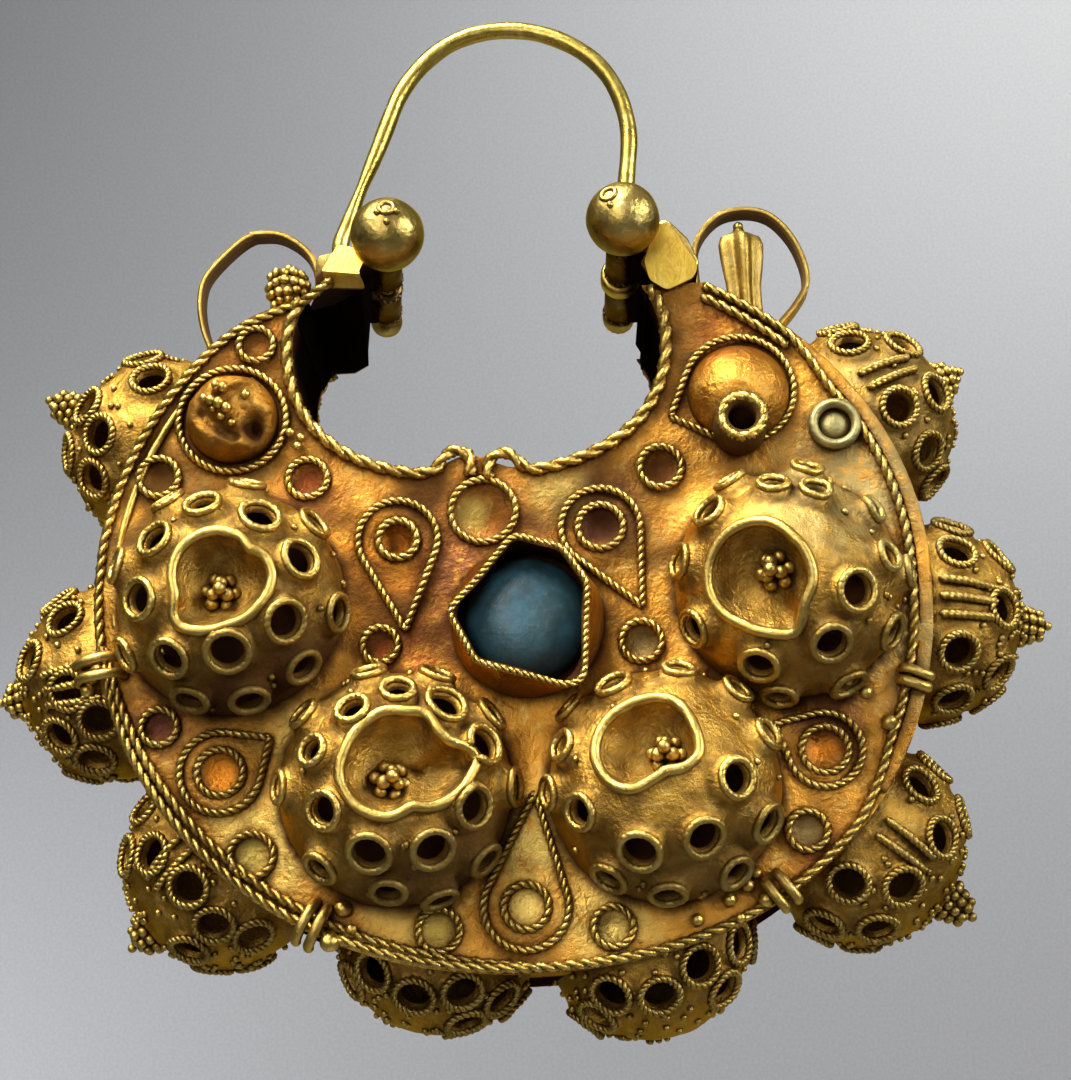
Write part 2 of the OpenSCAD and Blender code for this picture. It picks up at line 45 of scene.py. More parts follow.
# All shapes are made in millimetres, with z counted from the widest line of the plates
OFFSET = np.array((0.75, 0.0, 28.925))
OUT, UP = np.array((0.0, -1.0, 0.0)), np.array((0.0, 0.0, 1.0))
# Box: half its depth, its sheet, the height and squareness of its outer edge in each quarter, the edge's half
# width, the heights of the horn tips, and how far the band stands inside the edge
FACE, SHEET = 5.0, 0.3
QUARTERS = ((15.8, 2), (16.8, 2), (16.8, 2.05), (16.8, 2.25))
HALF_W = 18.3
LEFT_TIP, RIGHT_TIP = 13.7, 13.5
BAND_INSET = 0.45
# Throat: its middle, half width and reach down and up, and the rise in its lower edge
THROAT_X, THROAT_Z, THROAT_HALF, THROAT_LOW, THROAT_HIGH = -1.1, 11.4, 8.25, 6.2, 5.2
RISE_X, RISE_H, RISE_W = -1.6, 0.8, 1.3
# Openwork domes: radii, places on the front, and direction round the band with how far each is set in
BIG_R, BELT_R = 5.05, 4.55
BIG_DOMES = ((-12.2, -0.3), (-5.3, -8.8), (6.1, -9.2), (12.0, -0.8))
BELT_DOMES = ((152.4, 0), (187.7, 0), (219.5, 0.5), (254.5, 2), (288.9, 1.4), (322.5, -0.4), (355.1, -0.2),
              (25.8, -0.3))
# Twisted wires: radius and pitch of the rope on the rim, round the throat and in the small rings
RIM_ROPE, THROAT_ROPE, RING_ROPE = (0.24, 1.2), (0.31, 1.75), (0.19, 0.72)


class Form:
    """Closed shapes gathered into one mesh."""

    def __init__(self):
        self.points, self.faces, self.deep, self.count = [], [], [], 0

    def add(self, points, faces, deep=0.0):
        """deep darkens the colour: 0 where a surface is open, 1 for soot and painted shade in the hollow work
        and under things, 2 where shade is painted black.
        """
        points = np.asarray(points, float).reshape(-1, 3)
        deep = deep(points) if callable(deep) else deep
        self.deep.append(np.broadcast_to(np.asarray(deep, float), len(points)))
        if isinstance(faces, np.ndarray):
            self.faces += (faces + self.count).tolist()
        else:
            self.faces += [[i + self.count for i in f] for f in faces]
        self.points.append(points)
        self.count += len(points)

    def take(self, other, move):
        """Adds another form, with its points moved."""
        self.add(move(np.vstack(other.points)), other.faces, np.concatenate(other.deep))

    def build(self, name, material, slot, body="crescent", stands_for=(), sharp=None, bend=None):
        co = np.vstack(self.points)
        if bend is not None:
            co = bend(co)
        mesh = bpy.data.meshes.new(name)
        mesh.from_pydata((co - OFFSET).tolist(), [], self.faces)
        bm = bmesh.new()
        bm.from_mesh(mesh)
        bmesh.ops.recalc_face_normals(bm, faces=bm.faces)
        bm.to_mesh(mesh)
        bm.free()
        mesh.transform(Matrix.Scale(0.001, 4))
        mesh.attributes.new("deep", "FLOAT", "POINT").data.foreach_set("value", np.concatenate(self.deep))
        mesh.shade_smooth()
        if sharp is not None:
            mesh.set_sharp_from_angle(angle=math.radians(sharp))
        mesh.materials.append(material)
        made = bpy.data.objects.new(name, mesh)
        scene.collection.objects.link(made)
        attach(made, body)
        if stands_for:
            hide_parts(*stands_for)
        return made


def unit(v):
    return v / np.linalg.norm(v, axis=-1, keepdims=True)


def full_turn(count):
    """Even angles of a whole turn."""
    return np.arange(count) * 2 * math.pi / count


def square_to(axis, k, first, second):
    """Two directions square to an axis, from a helper; the second helper serves an axis near direction k."""
    a = unit(np.cross(axis, first if abs(axis[k]) < 0.8 else second))
    return a, np.cross(axis, a)


def smoothed(line, times, closed=False):
    """Evens out a line by its neighbours, with the ends of an open one kept."""
    for _ in range(times):
        if closed:
            line = (np.roll(line, 1, 0) + 2 * line + np.roll(line, -1, 0)) / 4
        else:
            line = np.concatenate([line[:1], (line[:-2] + 2 * line[1:-1] + line[2:]) / 4, line[-1:]])
    return line


def wavy(co, scale, seed):
    """Smooth noise at each point, about -1 to 1."""
    co = np.column_stack([co, np.zeros((len(co), 3 - co.shape[1]))])
    shift = np.array((17.3, 5.1, 9.7)) * seed
    return np.array([noise.noise(Vector(p)) for p in (co / scale + shift)])


def around(at, r, angles):
    """Points of the front view at distance r from a place."""
    return np.column_stack([at[0] + r * np.cos(angles), at[1] + r * np.sin(angles)])


def at_depth(xz, y):
    """Points of the front view, all at one depth or each at its own."""
    xz = np.atleast_2d(xz)
    return np.column_stack([xz[:, 0], np.broadcast_to(y, len(xz)), xz[:, 1]])


def circle(r, count):
    return around((0, 0), r, full_turn(count))


def along_path(path, closed):
    return np.roll(path, -1, 0) - np.roll(path, 1, 0) if closed else np.gradient(path, axis=0)


def box_profile(high, wide, ease=0.06):
    """Rectangle with eased corners."""
    h, w = high / 2, wide / 2
    return np.array([(h, w - ease), (h - ease, w), (-h + ease, w), (-h, w - ease), (-h, -w + ease),
                     (-h + ease, -w), (h - ease, -w), (h, -w + ease)])


def sweep(form, path, normal, profile, closed=False, deep=0.0):
    """Carries a profile, given as (towards the normal, sideways), along a path."""
    path = np.asarray(path, float)
    along = along_path(path, closed)
    side = unit(np.cross(unit(along), normal))
    up = unit(np.cross(side, along))
    profile = np.asarray(profile, float)
    points = path[:, None] + profile[..., 0, None] * up[:, None] + profile[..., 1, None] * side[:, None]
    n, m = points.shape[:2]
    index = np.arange(n * m).reshape(n, m)
    rows = np.vstack([index, index[:1]]) if closed else index
    a, b = rows[:-1], rows[1:]
    faces = np.stack([a, np.roll(a, -1, 1), np.roll(b, -1, 1), b], -1).reshape(-1, 4).tolist()
    if not closed:
        faces += [index[0, ::-1].tolist(), index[-1].tolist()]
    form.add(points, faces, deep)


def resample(path, step, closed):
    """Even steps along a path, and its length."""
    path = np.asarray(path, float)
    if closed:
        path = np.vstack([path, path[:1]])
    d = np.r_[0, np.cumsum(np.linalg.norm(np.diff(path, axis=0), axis=1))]
    count = max(6, round(d[-1] / step))
    s = np.linspace(0, d[-1], count + 1)
    if closed:
        s = s[:-1]
    return np.column_stack([np.interp(s, d, path[:, k]) for k in range(3)]), d[-1]


def rope(form, path, normal, r, pitch, closed=False, twist=0.42):
    """Two wires twisted together, of overall radius r; a small twist makes a worn, smoother rope."""
    steps_a_turn, sides = 7, 6
    path, length = resample(path, pitch / steps_a_turn, closed)
    turns = round(length / pitch) if closed else length / pitch
    along = along_path(path, closed)
    side = unit(np.cross(along, normal))
    up = unit(np.cross(side, along))
    angle = np.linspace(0, 2 * math.pi * turns, len(path), endpoint=not closed)[:, None]
    for start in (0, math.pi):
        out = np.cos(angle + start) * up + np.sin(angle + start) * side
        sweep(form, path + out * r * twist, out, circle(r * (1.04 - twist), sides), closed)


def ring_path(at, normal, r, count=40):
    normal = unit(np.asarray(normal, float))
    a, b = square_to(normal, 2, (0.3, 0.2, 0.9), (0.9, 0.3, 0.1))
    t = full_turn(count)[:, None]
    return np.asarray(at, float) + r * (np.cos(t) * a + np.sin(t) * b)


def rope_ring(form, at, normal, r, wire, pitch, twist=0.4):
    rope(form, ring_path(at, normal, r), normal, wire, pitch, closed=True, twist=twist)


def lathe(form, at, axis, profile, count=28, deep=0.0):
    """Turns (radius, distance along the axis) round the axis; a radius of 0 closes an end."""
    axis = unit(np.asarray(axis, float))
    a, b = square_to(axis, 2, (0.2, 0.1, 1.0), (1.0, 0.1, 0.2))
    t = full_turn(count)
    ring = np.cos(t)[:, None] * a + np.sin(t)[:, None] * b
    points, rows = [], []
    for r, h in profile:
        base = np.asarray(at, float) + h * axis
        rows.append(range(len(points), len(points) + (1 if r == 0 else count)))
        points += [base] if r == 0 else list(base + r * ring)
    faces = []
    for low, high in zip(rows, rows[1:]):
        for i in range(count):
            j = (i + 1) % count
            face = [low[i % len(low)], low[j % len(low)], high[j % len(high)], high[i % len(high)]]
            faces.append(list(dict.fromkeys(face)))
    form.add(points, [f for f in faces if len(f) > 2], deep)


def ball_profile(r, squash=1.0, count=12):
    a = np.linspace(0, math.pi, count + 1)
    rows = [(r * math.sin(t), -squash * r * math.cos(t)) for t in a]
    rows[0], rows[-1] = (0, rows[0][1]), (0, rows[-1][1])
    return rows


def granule(form, at, r):
    """Small ball with its own slight unevenness."""
    r = r * rng.uniform(0.92, 1.06)
    lathe(form, at, rng.normal(size=3), ball_profile(r, rng.uniform(0.94, 1.04), 7), 10)


def heap(form, at, up, r, rows):
    """Pyramid of granules: a round bottom row with a middle one, then smaller rows on it."""
    up = unit(np.asarray(up, float))
    a, b = square_to(up, 1, (0.2, 0.9, 0.1), (0.9, 0.1, 0.3))
    turn = rng.uniform(0, 6)
    for level, count in enumerate(rows):
        ring_count = count - 1 if count > 4 else count
        ring_r = 0 if count == 1 else max(1.05 * r / math.sin(math.pi / ring_count), r)
        base = np.asarray(at, float) + up * (r * 0.9 + level * r * 1.5)
        if count > 4 or count == 1:
            granule(form, base, r)
        for i in range(ring_count if count > 1 else 0):
            t = turn + level * 0.6 + i * 2 * math.pi / ring_count
            granule(form, base + ring_r * (math.cos(t) * a + math.sin(t) * b), r)


def prism(form, corners, y0, y1, deep=0.0):
    """Upright sides between two depths, with a row of points just inside each end."""
    n = len(corners)
    points = [(x, y, z) for y in (y0, y0 + 0.25, y1 - 0.25, y1) for x, z in corners]
    faces = [list(range(n))[::-1], [i + 3 * n for i in range(n)]]
    faces += [[k + i, k + (i + 1) % n, k + (i + 1) % n + n, k + i + n]
              for k in (0, n, 2 * n) for i in range(n)]
    form.add(points, faces, deep)


def shell(form, loops, loose, keep, outer, inner, deep=None, dark=1.0):
    """Closed sheet between two surfaces over a flat domain that the loops bound; deep darkens its outer skin,
    and its inner skin is painted dark by the value dark, as shade.
    """
    flat = np.vstack(list(loops) + [loose])
    edges, start = [], 0
    for loop in loops:
        edges += [(start + i, start + (i + 1) % len(loop)) for i in range(len(loop))]
        start += len(loop)
    made = delaunay_2d_cdt([Vector(p) for p in flat], edges, [], 0, 1e-6)
    flat = np.array([tuple(p) for p in made[0]])
    tris = np.array([f for f in made[2] if len(f) == 3])
    tris = tris[keep(flat[tris].mean(1))]
    used, back = np.unique(tris, return_inverse=True)
    flat, tris = flat[used], back.reshape(tris.shape)
    sides = np.vstack([tris[:, [0, 1]], tris[:, [1, 2]], tris[:, [2, 0]]])
    _, first, times = np.unique(np.sort(sides, 1), axis=0, return_index=True, return_counts=True)
    rim, n = sides[first[times == 1]], len(flat)
    faces = tris.tolist() + (tris[:, ::-1] + n).tolist()
    faces += np.column_stack([rim[:, 1], rim[:, 0], rim[:, 0] + n, rim[:, 1] + n]).tolist()
    form.add(np.vstack([outer(flat), inner(flat)]), faces,
             np.concatenate([deep(flat) if deep else np.zeros(n), np.full(n, dark)]))


def power(v, p):
    return math.copysign(abs(v) ** p, v)


def outline_point(deg, inset=0.0):
    """Outer edge in a direction, with the dent of the left shoulder."""
    rise, square = QUARTERS[int(deg // 90) % 4]
    a, p = math.radians(deg), 2 / square
    x = (HALF_W - inset) * power(math.cos(a), p)
    dent = math.exp(-((x + 8.2) / 2.6) ** 2) if math.sin(a) > 0 else 0
    return x, (rise - inset) * power(math.sin(a), p) - dent


def throat_point(deg, grow=0.0):
    a = math.radians(deg)
    low = math.sin(a) < 0
    p, h = (2 / 2.4, THROAT_LOW) if low else (1, THROAT_HIGH)
    x = (THROAT_HALF + grow) * power(math.cos(a), p) + THROAT_X
    rise = RISE_H * math.exp(-((x - RISE_X) / RISE_W) ** 2) if low else 0
    return x, THROAT_Z + (h + grow) * power(math.sin(a), p) + rise


def outline(angles, inset):
    return np.array([outline_point(a, i) for a, i in zip(angles, np.broadcast_to(inset, len(angles)))])


def outer_path(inset, cut=0.0, short=0.0):
    """Outer edge from the left horn's tip, or short of it, round the bottom to the right horn's tip."""
    angles = np.arange(95, 445, 0.5)
    heights = outline(angles, inset)[:, 1]
    first = np.interp(cut + short - LEFT_TIP, -heights[:170], angles[:170])
    last = np.interp(RIGHT_TIP - cut, heights[-170:], angles[-170:])
    return outline(np.linspace(first, last, 220), inset)


def throat_path(grow, cut=0.0):
    """Throat edge from the right horn's tip round below to the left horn's tip."""
    first = math.degrees(math.asin((RIGHT_TIP - cut - THROAT_Z) / (THROAT_HIGH + grow)))
    last = -180 - math.degrees(math.asin((LEFT_TIP - cut - THROAT_Z) / (THROAT_HIGH + grow)))
    return np.array([throat_point(a, grow) for a in np.linspace(first, last, 90)])


def crescent_loop(inset, cut=0.0):
    return np.vstack([outer_path(inset, cut), throat_path(inset, cut)])


def inside(points, loop):
    """Which points lie inside a closed outline."""
    x, y = points[:, 0, None], points[:, 1, None]
    x0, y0 = loop[:, 0], loop[:, 1]
    x1, y1 = np.roll(x0, -1), np.roll(y0, -1)
    crossing = (y0 > y) != (y1 > y)
    at = x0 + (y - y0) * (x1 - x0) / np.where(y1 == y0, 1e-9, y1 - y0)
    return (crossing & (x < at)).sum(1) % 2 == 1


def distance(xz, to):
    return np.hypot(xz[:, 0] - to[0], xz[:, 1] - to[1])


# Small rings of twisted wire on the front: place, radius, and how far the disc inside is sunk
RINGS = ((-15.4, 5.6, 0.85, 0.2), (-8.8, 5.2, 0.85, 0.22), (-11.0, 11.6, 0.75, 0.2), (-1.1, 3.3, 1.4, 0.3),
         (6.8, 4.9, 0.9, 0.3), (5.5, -2.9, 0.85, 0.2), (-5.8, -2.5, 0.75, 0.1), (-15.4, -5.6, 0.75, 0.12),
         (-11.5, -11.3, 0.9, 0.12), (-3.7, -14.8, 0.85, 0.1), (3.6, -15.0, 0.8, 0.25),
         (12.0, -11.4, 0.8, 0.2))
COLLAR = (14.6, 6.4)
# Wire teardrops: place and radius of the round end, direction and distance of the point, inner ring's radius
# and how far it is sunk
TEARDROPS = ((-4.9, 2.2, 1.75, -87, 4.1, 0.85, 0.5), (4.0, 2.3, 1.75, -66, 4.0, 1.0, 0.45),
             (-12.8, -7.7, 1.75, 33, 2.6, 1.0, 0.3), (0, -14.0, 1.8, 83, 4.8, 0.95, 0.12),
             (13.0, -8.0, 1.6, 150, 2.4, 1.0, 0.4), (10.5, 8.3, 2.45, 200, 3.3, 0, 0))
LEFT_HORN, RIGHT_HORN, ROPE_CIRCLE = (-12.1, 8.1), (10.5, 8.1), 2.4
HORN_R = 2.05
BEZEL = (0.6, -1.8)


def plate_relief(xz, seed):
    """How far the hammered plate stands out of flat."""
    h = 0.2 * wavy(xz, 3.2, seed) + 0.09 * wavy(xz, 1.3, seed + 1) + 0.03 * wavy(xz, 0.5, seed + 2)
    for at in BIG_DOMES:
        h += 0.15 * np.exp(-np.maximum(distance(xz, at) - BIG_R, 0) / 0.35)
    return h


def front_relief(xz):
    h = plate_relief(xz, 3)
    for x, z, r, sunk in RINGS:
        h -= sunk * np.clip((r - distance(xz, (x, z))) / 0.35, 0, 1)
    for x, z, r, turn, reach, ring, sunk in TEARDROPS:
        d = distance(xz, (x, z))
        h += 0.12 * np.clip((r - d) / 0.5, 0, 1)
        if ring:
            h -= sunk * np.clip(1.1 - (d / ring) ** 2, 0, 1)
    h += 0.1 * np.exp(-np.maximum(distance(xz, BEZEL) - 3.3, 0) / 0.3)
    return np.clip(h, -0.55, 0.33)


def sheet_soot_and_shade(xz):
    """Darkening of the sheet: random soot patches, fading out towards the bottom, 1 under the domes, the left
    horn dome and the bezel, with painted shadow round them, heaviest below, and painted shade and dirt along
    the wires.
    """
    patches = 0.55 + 0.75 * wavy(xz, 2.6, 14) + 0.35 * wavy(xz, 0.9, 15)
    dark = np.clip(patches, 0.05, 0.85) * (0.1 + 0.9 * np.clip((xz[:, 1] + 7) / 5, 0, 1))
    # Less darkened by the right edge
    dark *= 1 - 0.6 * np.clip((xz[:, 0] - 12) / 3, 0, 1)
    for at, r in [(at, BIG_R) for at in BIG_DOMES] + [(LEFT_HORN, HORN_R), (BEZEL, 3.35)]:
        d = distance(xz, at)
        # Painted shadow round each, heaviest below it
        below = 0.5 + 0.5 * np.clip((at[1] - xz[:, 1]) / np.maximum(d, 0.1), -0.4, 1)
        dark = np.maximum(dark, np.clip((r + 0.3 - d) / 0.35, 0, 1))
        dark = np.maximum(dark, 0.65 * below * np.exp(-np.maximum(d - r, 0) / 0.5))
    # Painted shade and dirt along both sides of the wires
    for x, z, r, *_ in RINGS + TEARDROPS:
        dark = np.maximum(dark, 0.45 * np.exp(-(np.abs(distance(xz, (x, z)) - r) / 0.42) ** 2))
    for x, z, r, turn, reach, ring, sunk in TEARDROPS:
        if ring:
            dark = np.maximum(dark, 0.5 * np.exp(-(np.abs(distance(xz, (x, z)) - ring) / 0.42) ** 2))
    return dark


def plate(form, side, relief):
    """Hammered sheet of the front (side -1) or the back (side 1)."""
    step = 0.36
    loop = crescent_loop(0.05)
    grid = np.meshgrid(np.arange(-18.2, 18.2, step), np.arange(-16.8, 14.4, step))
    grid = np.stack(grid, -1).reshape(-1, 2)
    grid = grid + rng.uniform(-0.1, 0.1, grid.shape)
    loose = grid[inside(grid, crescent_loop(0.25, 0.2))]

    def surface(xz, sink):
        return at_depth(xz, side * (FACE - sink + relief(xz)))

    shell(form, [loop], loose, lambda m: inside(m, loop),
          lambda p: surface(p, 0), lambda p: surface(p, SHEET), sheet_soot_and_shade)


def wall(form, path, deep):
    """Band of sheet that stands between the plates along a path."""
    ys = np.linspace(0.1 - FACE, FACE - 0.1, 15)
    profile = [(y, SHEET / 2) for y in ys] + [(y, -SHEET / 2) for y in ys[::-1]]
    sweep(form, at_depth(path, 0), (0, 1, 0), profile, deep=deep)


# Looks
class Net:
    """Short way to write shader nodes."""

    def __init__(self, tree):
        self.tree = tree

    def make(self, kind, inputs=(), **settings):
        made = self.tree.nodes.new(kind)
        for key, value in settings.items():
            setattr(made, key, value)
        for key, value in dict(inputs).items():
            self.put(made.inputs[key], value)
        return made

    def put(self, socket, value):
        if isinstance(value, bpy.types.NodeSocket):
            self.tree.links.new(value, socket)
        elif isinstance(value, (tuple, list)) and len(value) == 3 and socket.type == "RGBA":
            socket.default_value = (*value, 1)
        else:
            socket.default_value = value

    def math(self, how, a, b, clamp=False):
        return self.make("ShaderNodeMath", {0: a, 1: b}, operation=how, use_clamp=clamp).outputs[0]

    def plus(self, a, b, clamp=False):
        return self.math("ADD", a, b, clamp)

    def times(self, a, b, clamp=False):
        return self.math("MULTIPLY", a, b, clamp)

    def ramp(self, value, low, high):
        """0 at low and 1 at high, smooth between."""
        return self.make("ShaderNodeMapRange", {"Value": value, "From Min": low, "From Max": high},
                         interpolation_type="SMOOTHSTEP").outputs["Result"]

    def mix(self, share, a, b):
        made = self.tree.nodes.new("ShaderNodeMix")
        made.data_type = "RGBA"
        self.put(made.inputs[0], share)
        self.put(made.inputs[6], a)
        self.put(made.inputs[7], b)
        return made.outputs[2]

    def place(self):
        """Position on the object in millimetres."""
        at = self.make("ShaderNodeTexCoord").outputs["Object"]
        return self.make("ShaderNodeVectorMath", {0: at, "Scale": 1000.0}, operation="SCALE").outputs[0]

    def noise(self, at, scale, detail=4.0, rough=0.55):
        return self.make("ShaderNodeTexNoise", {"Vector": at, "Scale": scale, "Detail": detail,
                                                "Roughness": rough}).outputs["Fac"]

    def near(self, at, x, z, r, y=0.0):
        """1 within a place, fading out over its radius r."""
        centre = (x - OFFSET[0], y, z - OFFSET[2])
        d = self.make("ShaderNodeVectorMath", {0: at, 1: centre}, operation="DISTANCE").outputs["Value"]
        return self.ramp(d, r, r * 0.25)

    def hollows(self, reach):
        """1 in the open, less where other surfaces stand within reach (in millimetres)."""
        return self.make("ShaderNodeAmbientOcclusion", {"Distance": reach / 1000}, samples=6).outputs["AO"]

    def surface(self, inputs):
        shader = self.make("ShaderNodeBsdfPrincipled", inputs)
        self.make("ShaderNodeOutputMaterial", {"Surface": shader.outputs["BSDF"]})


def new_material(name):
    material = bpy.data.materials.new(name)
    material.use_nodes = True
    material.node_tree.nodes.clear()
    return material, Net(material.node_tree)


def gold(name, base, pale, dark, rough=0.27, grime_and_shade=0.85, spots=(), hammer=0.5, fine=0.25, reach=0.55):
    """Worn gold: pale in random patches, brown and red with tarnish and painted shade in its hollows, and
    darkened with soot and painted shade where deep says.
    """
    material, net = new_material(name)
    at = net.place()
    patches = net.noise(at, 0.32, 5, 0.6)
    mottle = net.noise(at, 1.7, 4, 0.6)
    grain = net.noise(at, 7.0, 3, 0.6)
    browner = tuple(0.66 * b + 0.34 * d for b, d in zip(base, dark))
    colour = net.mix(net.ramp(patches, 0.38, 0.66), base, browner)
    colour = net.mix(net.times(net.ramp(mottle, 0.5, 0.72), 0.5), colour, pale)
    # The stains and painted highlights are on the front only
    x, y, z = net.make("ShaderNodeSeparateXYZ", {0: at}).outputs
    behind = net.times(net.math("MAXIMUM", y, 0.0), 5.0)
    flat = net.make("ShaderNodeCombineXYZ", {0: x, 1: behind, 2: z}).outputs[0]
    speckle = net.ramp(mottle, 0.25, 0.55)
    dusty = []
    for x, z, r, share, tint in spots:
        mask = net.near(flat, x, z, r)
        if r > 1.5:
            mask = net.times(mask, speckle)
        mask = net.times(mask, share)
        colour = net.mix(mask, colour, tint)
        if tint is DUST:
            dusty.append(mask)
    # Tarnish and painted shade in the hollows, which are also rougher
    hollow = net.hollows(reach)
    shade = net.ramp(net.plus(hollow, net.times(grain, 0.3)), 1.10, 0.50)
    colour = net.mix(net.times(shade, grime_and_shade, True), colour, dark)
    # Soot and painted shade by the deep value, painted black from 1 to 2, and less metallic
    soot_and_shade = net.make("ShaderNodeAttribute", attribute_type="GEOMETRY", attribute_name="deep").outputs["Fac"]
    colour = net.mix(soot_and_shade, colour, SOOT_AND_SHADE)
    colour = net.mix(net.ramp(soot_and_shade, 1.0, 2.0), colour, (0.003, 0.002, 0.001))
    shine = net.plus(net.times(mottle, 0.22), rough - 0.11)
    for mask in dusty:
        shine = net.plus(shine, net.times(mask, 0.22))
    shine = net.plus(shine, net.times(shade, 0.25))
    shine = net.plus(shine, net.times(soot_and_shade, 0.28), True)
    relief = net.plus(net.times(net.noise(at, 0.9, 2), hammer),
                      net.times(net.noise(at, 5.5, 4, 0.65), fine))
    bump = net.make("ShaderNodeBump", {"Height": relief, "Strength": 0.55, "Distance": 0.0003})
    metal = net.ramp(soot_and_shade, 1.0, 0.5)
    net.surface({
        "Base Color": colour, "Roughness": shine, "Metallic": metal, "Specular Tint": pale,
        "Specular IOR Level": net.times(metal, 0.5), "Normal": bump.outputs["Normal"]})
    return material


def turquoise_look():
    material, net = new_material("turquoise_stone")
    at = net.place()
    cloud, spot = net.noise(at, 0.7, 5, 0.6), net.noise(at, 3.2, 5, 0.65)
    colour = net.mix(net.ramp(cloud, 0.40, 0.62), (0.024, 0.060, 0.068), (0.030, 0.104, 0.145))
    colour = net.mix(net.times(net.ramp(spot, 0.5, 0.7), 0.5), colour, (0.062, 0.130, 0.148))
    # Painted shade on the lower part of the stone and in its hollows
    low = net.near(at, 0.2, -4.8, 3.4, -6.5)
    colour = net.mix(net.times(low, 0.7), colour, (0.035, 0.060, 0.055))
    hollow = net.hollows(0.4)
    colour = net.mix(net.ramp(hollow, 0.6, 0.2), colour, (0.020, 0.032, 0.030))
    bump = net.make("ShaderNodeBump", {"Height": spot, "Strength": 0.35, "Distance": 0.0001})
    net.surface({"Base Color": colour, "Metallic": 0.0, "Normal": bump.outputs["Normal"],
                 "Roughness": net.plus(0.25, net.times(spot, 0.3))})
    return material


# Colour of soot and of painted shade
SOOT_AND_SHADE = (0.048, 0.017, 0.007)
RED, PURPLE, ORANGE = (0.30, 0.07, 0.02), (0.10, 0.030, 0.028), (0.80, 0.26, 0.02)
DUST, PAINTED_SHEEN, OLIVE = (0.40, 0.33, 0.13), (0.95, 0.68, 0.17), (0.46, 0.34, 0.07)
# Stains on the sheet: place, radius, strength, colour; the small ones lie inside the wire rings. The bright
# ones are painted highlights.
SHEET_SPOTS = ((-1.5, 2.0, 6.5, 0.55, RED), (-6.3, 0.6, 4.0, 0.6, ORANGE), (-4.0, -2.6, 3.0, 0.75, RED),
               (-2.4, 0.8, 2.6, 0.7, PURPLE), (4.2, 3.4, 2.6, 0.85, PURPLE), (-8.6, 4.4, 2.6, 0.7, RED),
               (-15.6, -5.4, 2.8, 0.7, PURPLE), (13.2, -6.6, 2.6, 0.85, PURPLE),
               (10.2, 11.0, 3.0, 0.75, RED), (15.6, 4.0, 5.0, 0.85, DUST), (17.6, -4.0, 4.0, 0.7, DUST),
               (-11.0, -11.0, 3.5, 0.8, PAINTED_SHEEN), (-5.5, -14.6, 3.5, 0.6, PAINTED_SHEEN),
               (0.2, -11.0, 3.4, 0.9, PAINTED_SHEEN), (3.5, -14.6, 3.2, 0.7, PAINTED_SHEEN), (12.6, -12.4, 2.4, 0.6, RED),
               (2.2, 4.0, 1.9, 0.8, PAINTED_SHEEN), (-9.3, -6.5, 2.6, 0.7, PAINTED_SHEEN), (-11.5, 12.0, 3.0, 0.6, RED),
               (-16.5, 1.5, 3.0, 0.5, OLIVE), (-1.6, 3.3, 1.3, 0.8, OLIVE), (-0.3, 2.9, 0.9, 0.8, ORANGE),
               (4.0, 2.3, 1.2, 0.9, PURPLE), (-4.9, 2.2, 1.1, 0.9, ORANGE), (-12.8, -7.7, 1.2, 0.9, ORANGE),
               (0, -14, 1.2, 0.9, PAINTED_SHEEN), (3.6, -15, 1.0, 0.9, PAINTED_SHEEN), (13, -8, 1.1, 0.8, ORANGE),
               (6.8, 4.9, 1.1, 0.8, RED), (-5.8, -2.5, 1.0, 0.9, RED), (5.5, -2.9, 1.1, 0.8, DUST),
               (12, -11.4, 1.0, 0.8, DUST), (-15.4, -5.6, 1.0, 0.9, PURPLE), (-11.5, -11.3, 1.1, 0.8, OLIVE),
               (-3.7, -14.8, 1.1, 0.8, OLIVE), (-8.8, 5.2, 1.1, 0.9, RED))
sheet_gold = gold("sheet_gold_worn", (0.78, 0.365, 0.05), (0.94, 0.63, 0.16), (0.07, 0.018, 0.005),
                  rough=0.32, spots=SHEET_SPOTS, hammer=0.9, fine=0.45, grime_and_shade=0.95, reach=0.7)
dome_gold = gold("openwork_gold_worn", (0.74, 0.42, 0.07), (0.88, 0.65, 0.20), (0.06, 0.018, 0.005),
                 spots=((13.5, 2.4, 4.5, 0.75, DUST), (17.5, 8.0, 5.0, 0.5, DUST)), rough=0.32, grime_and_shade=0.95,
                 hammer=1.0, fine=0.6)
wire_gold = gold("wire_gold_worn", (0.78, 0.53, 0.12), (0.90, 0.72, 0.28), (0.06, 0.020, 0.005), rough=0.33,
                 hammer=0.25, spots=((17.0, 2.0, 5.0, 0.7, DUST),), reach=0.35)
ball_gold = gold("polished_gold_worn", (0.52, 0.38, 0.10), (0.78, 0.63, 0.26), (0.12, 0.045, 0.010),
                 rough=0.33, hammer=0.6, fine=0.2)
cap_gold = gold("cap_gold_worn", (0.88, 0.60, 0.09), (0.95, 0.76, 0.22), (0.45, 0.16, 0.02), rough=0.42,
                hammer=0.15, fine=0.15)
# A darker copy of the gold for the pin tubes, painted shade on worn gold
tube_gold_shaded = gold("tube_gold_worn_and_shaded", (0.21, 0.14, 0.05), (0.42, 0.31, 0.13), (0.05, 0.02, 0.008), rough=0.28)
hoop_gold = gold("hoop_gold_worn", (0.62, 0.46, 0.09), (0.90, 0.76, 0.30), (0.16, 0.085, 0.025), rough=0.30,
                 hammer=0.3, fine=0.15, grime_and_shade=0.5)
dusty_gold = gold("dusty_gold", (0.40, 0.34, 0.14), (0.58, 0.52, 0.27), (0.14, 0.09, 0.03),
                  rough=0.50, grime_and_shade=0.9)
turquoise = turquoise_look()

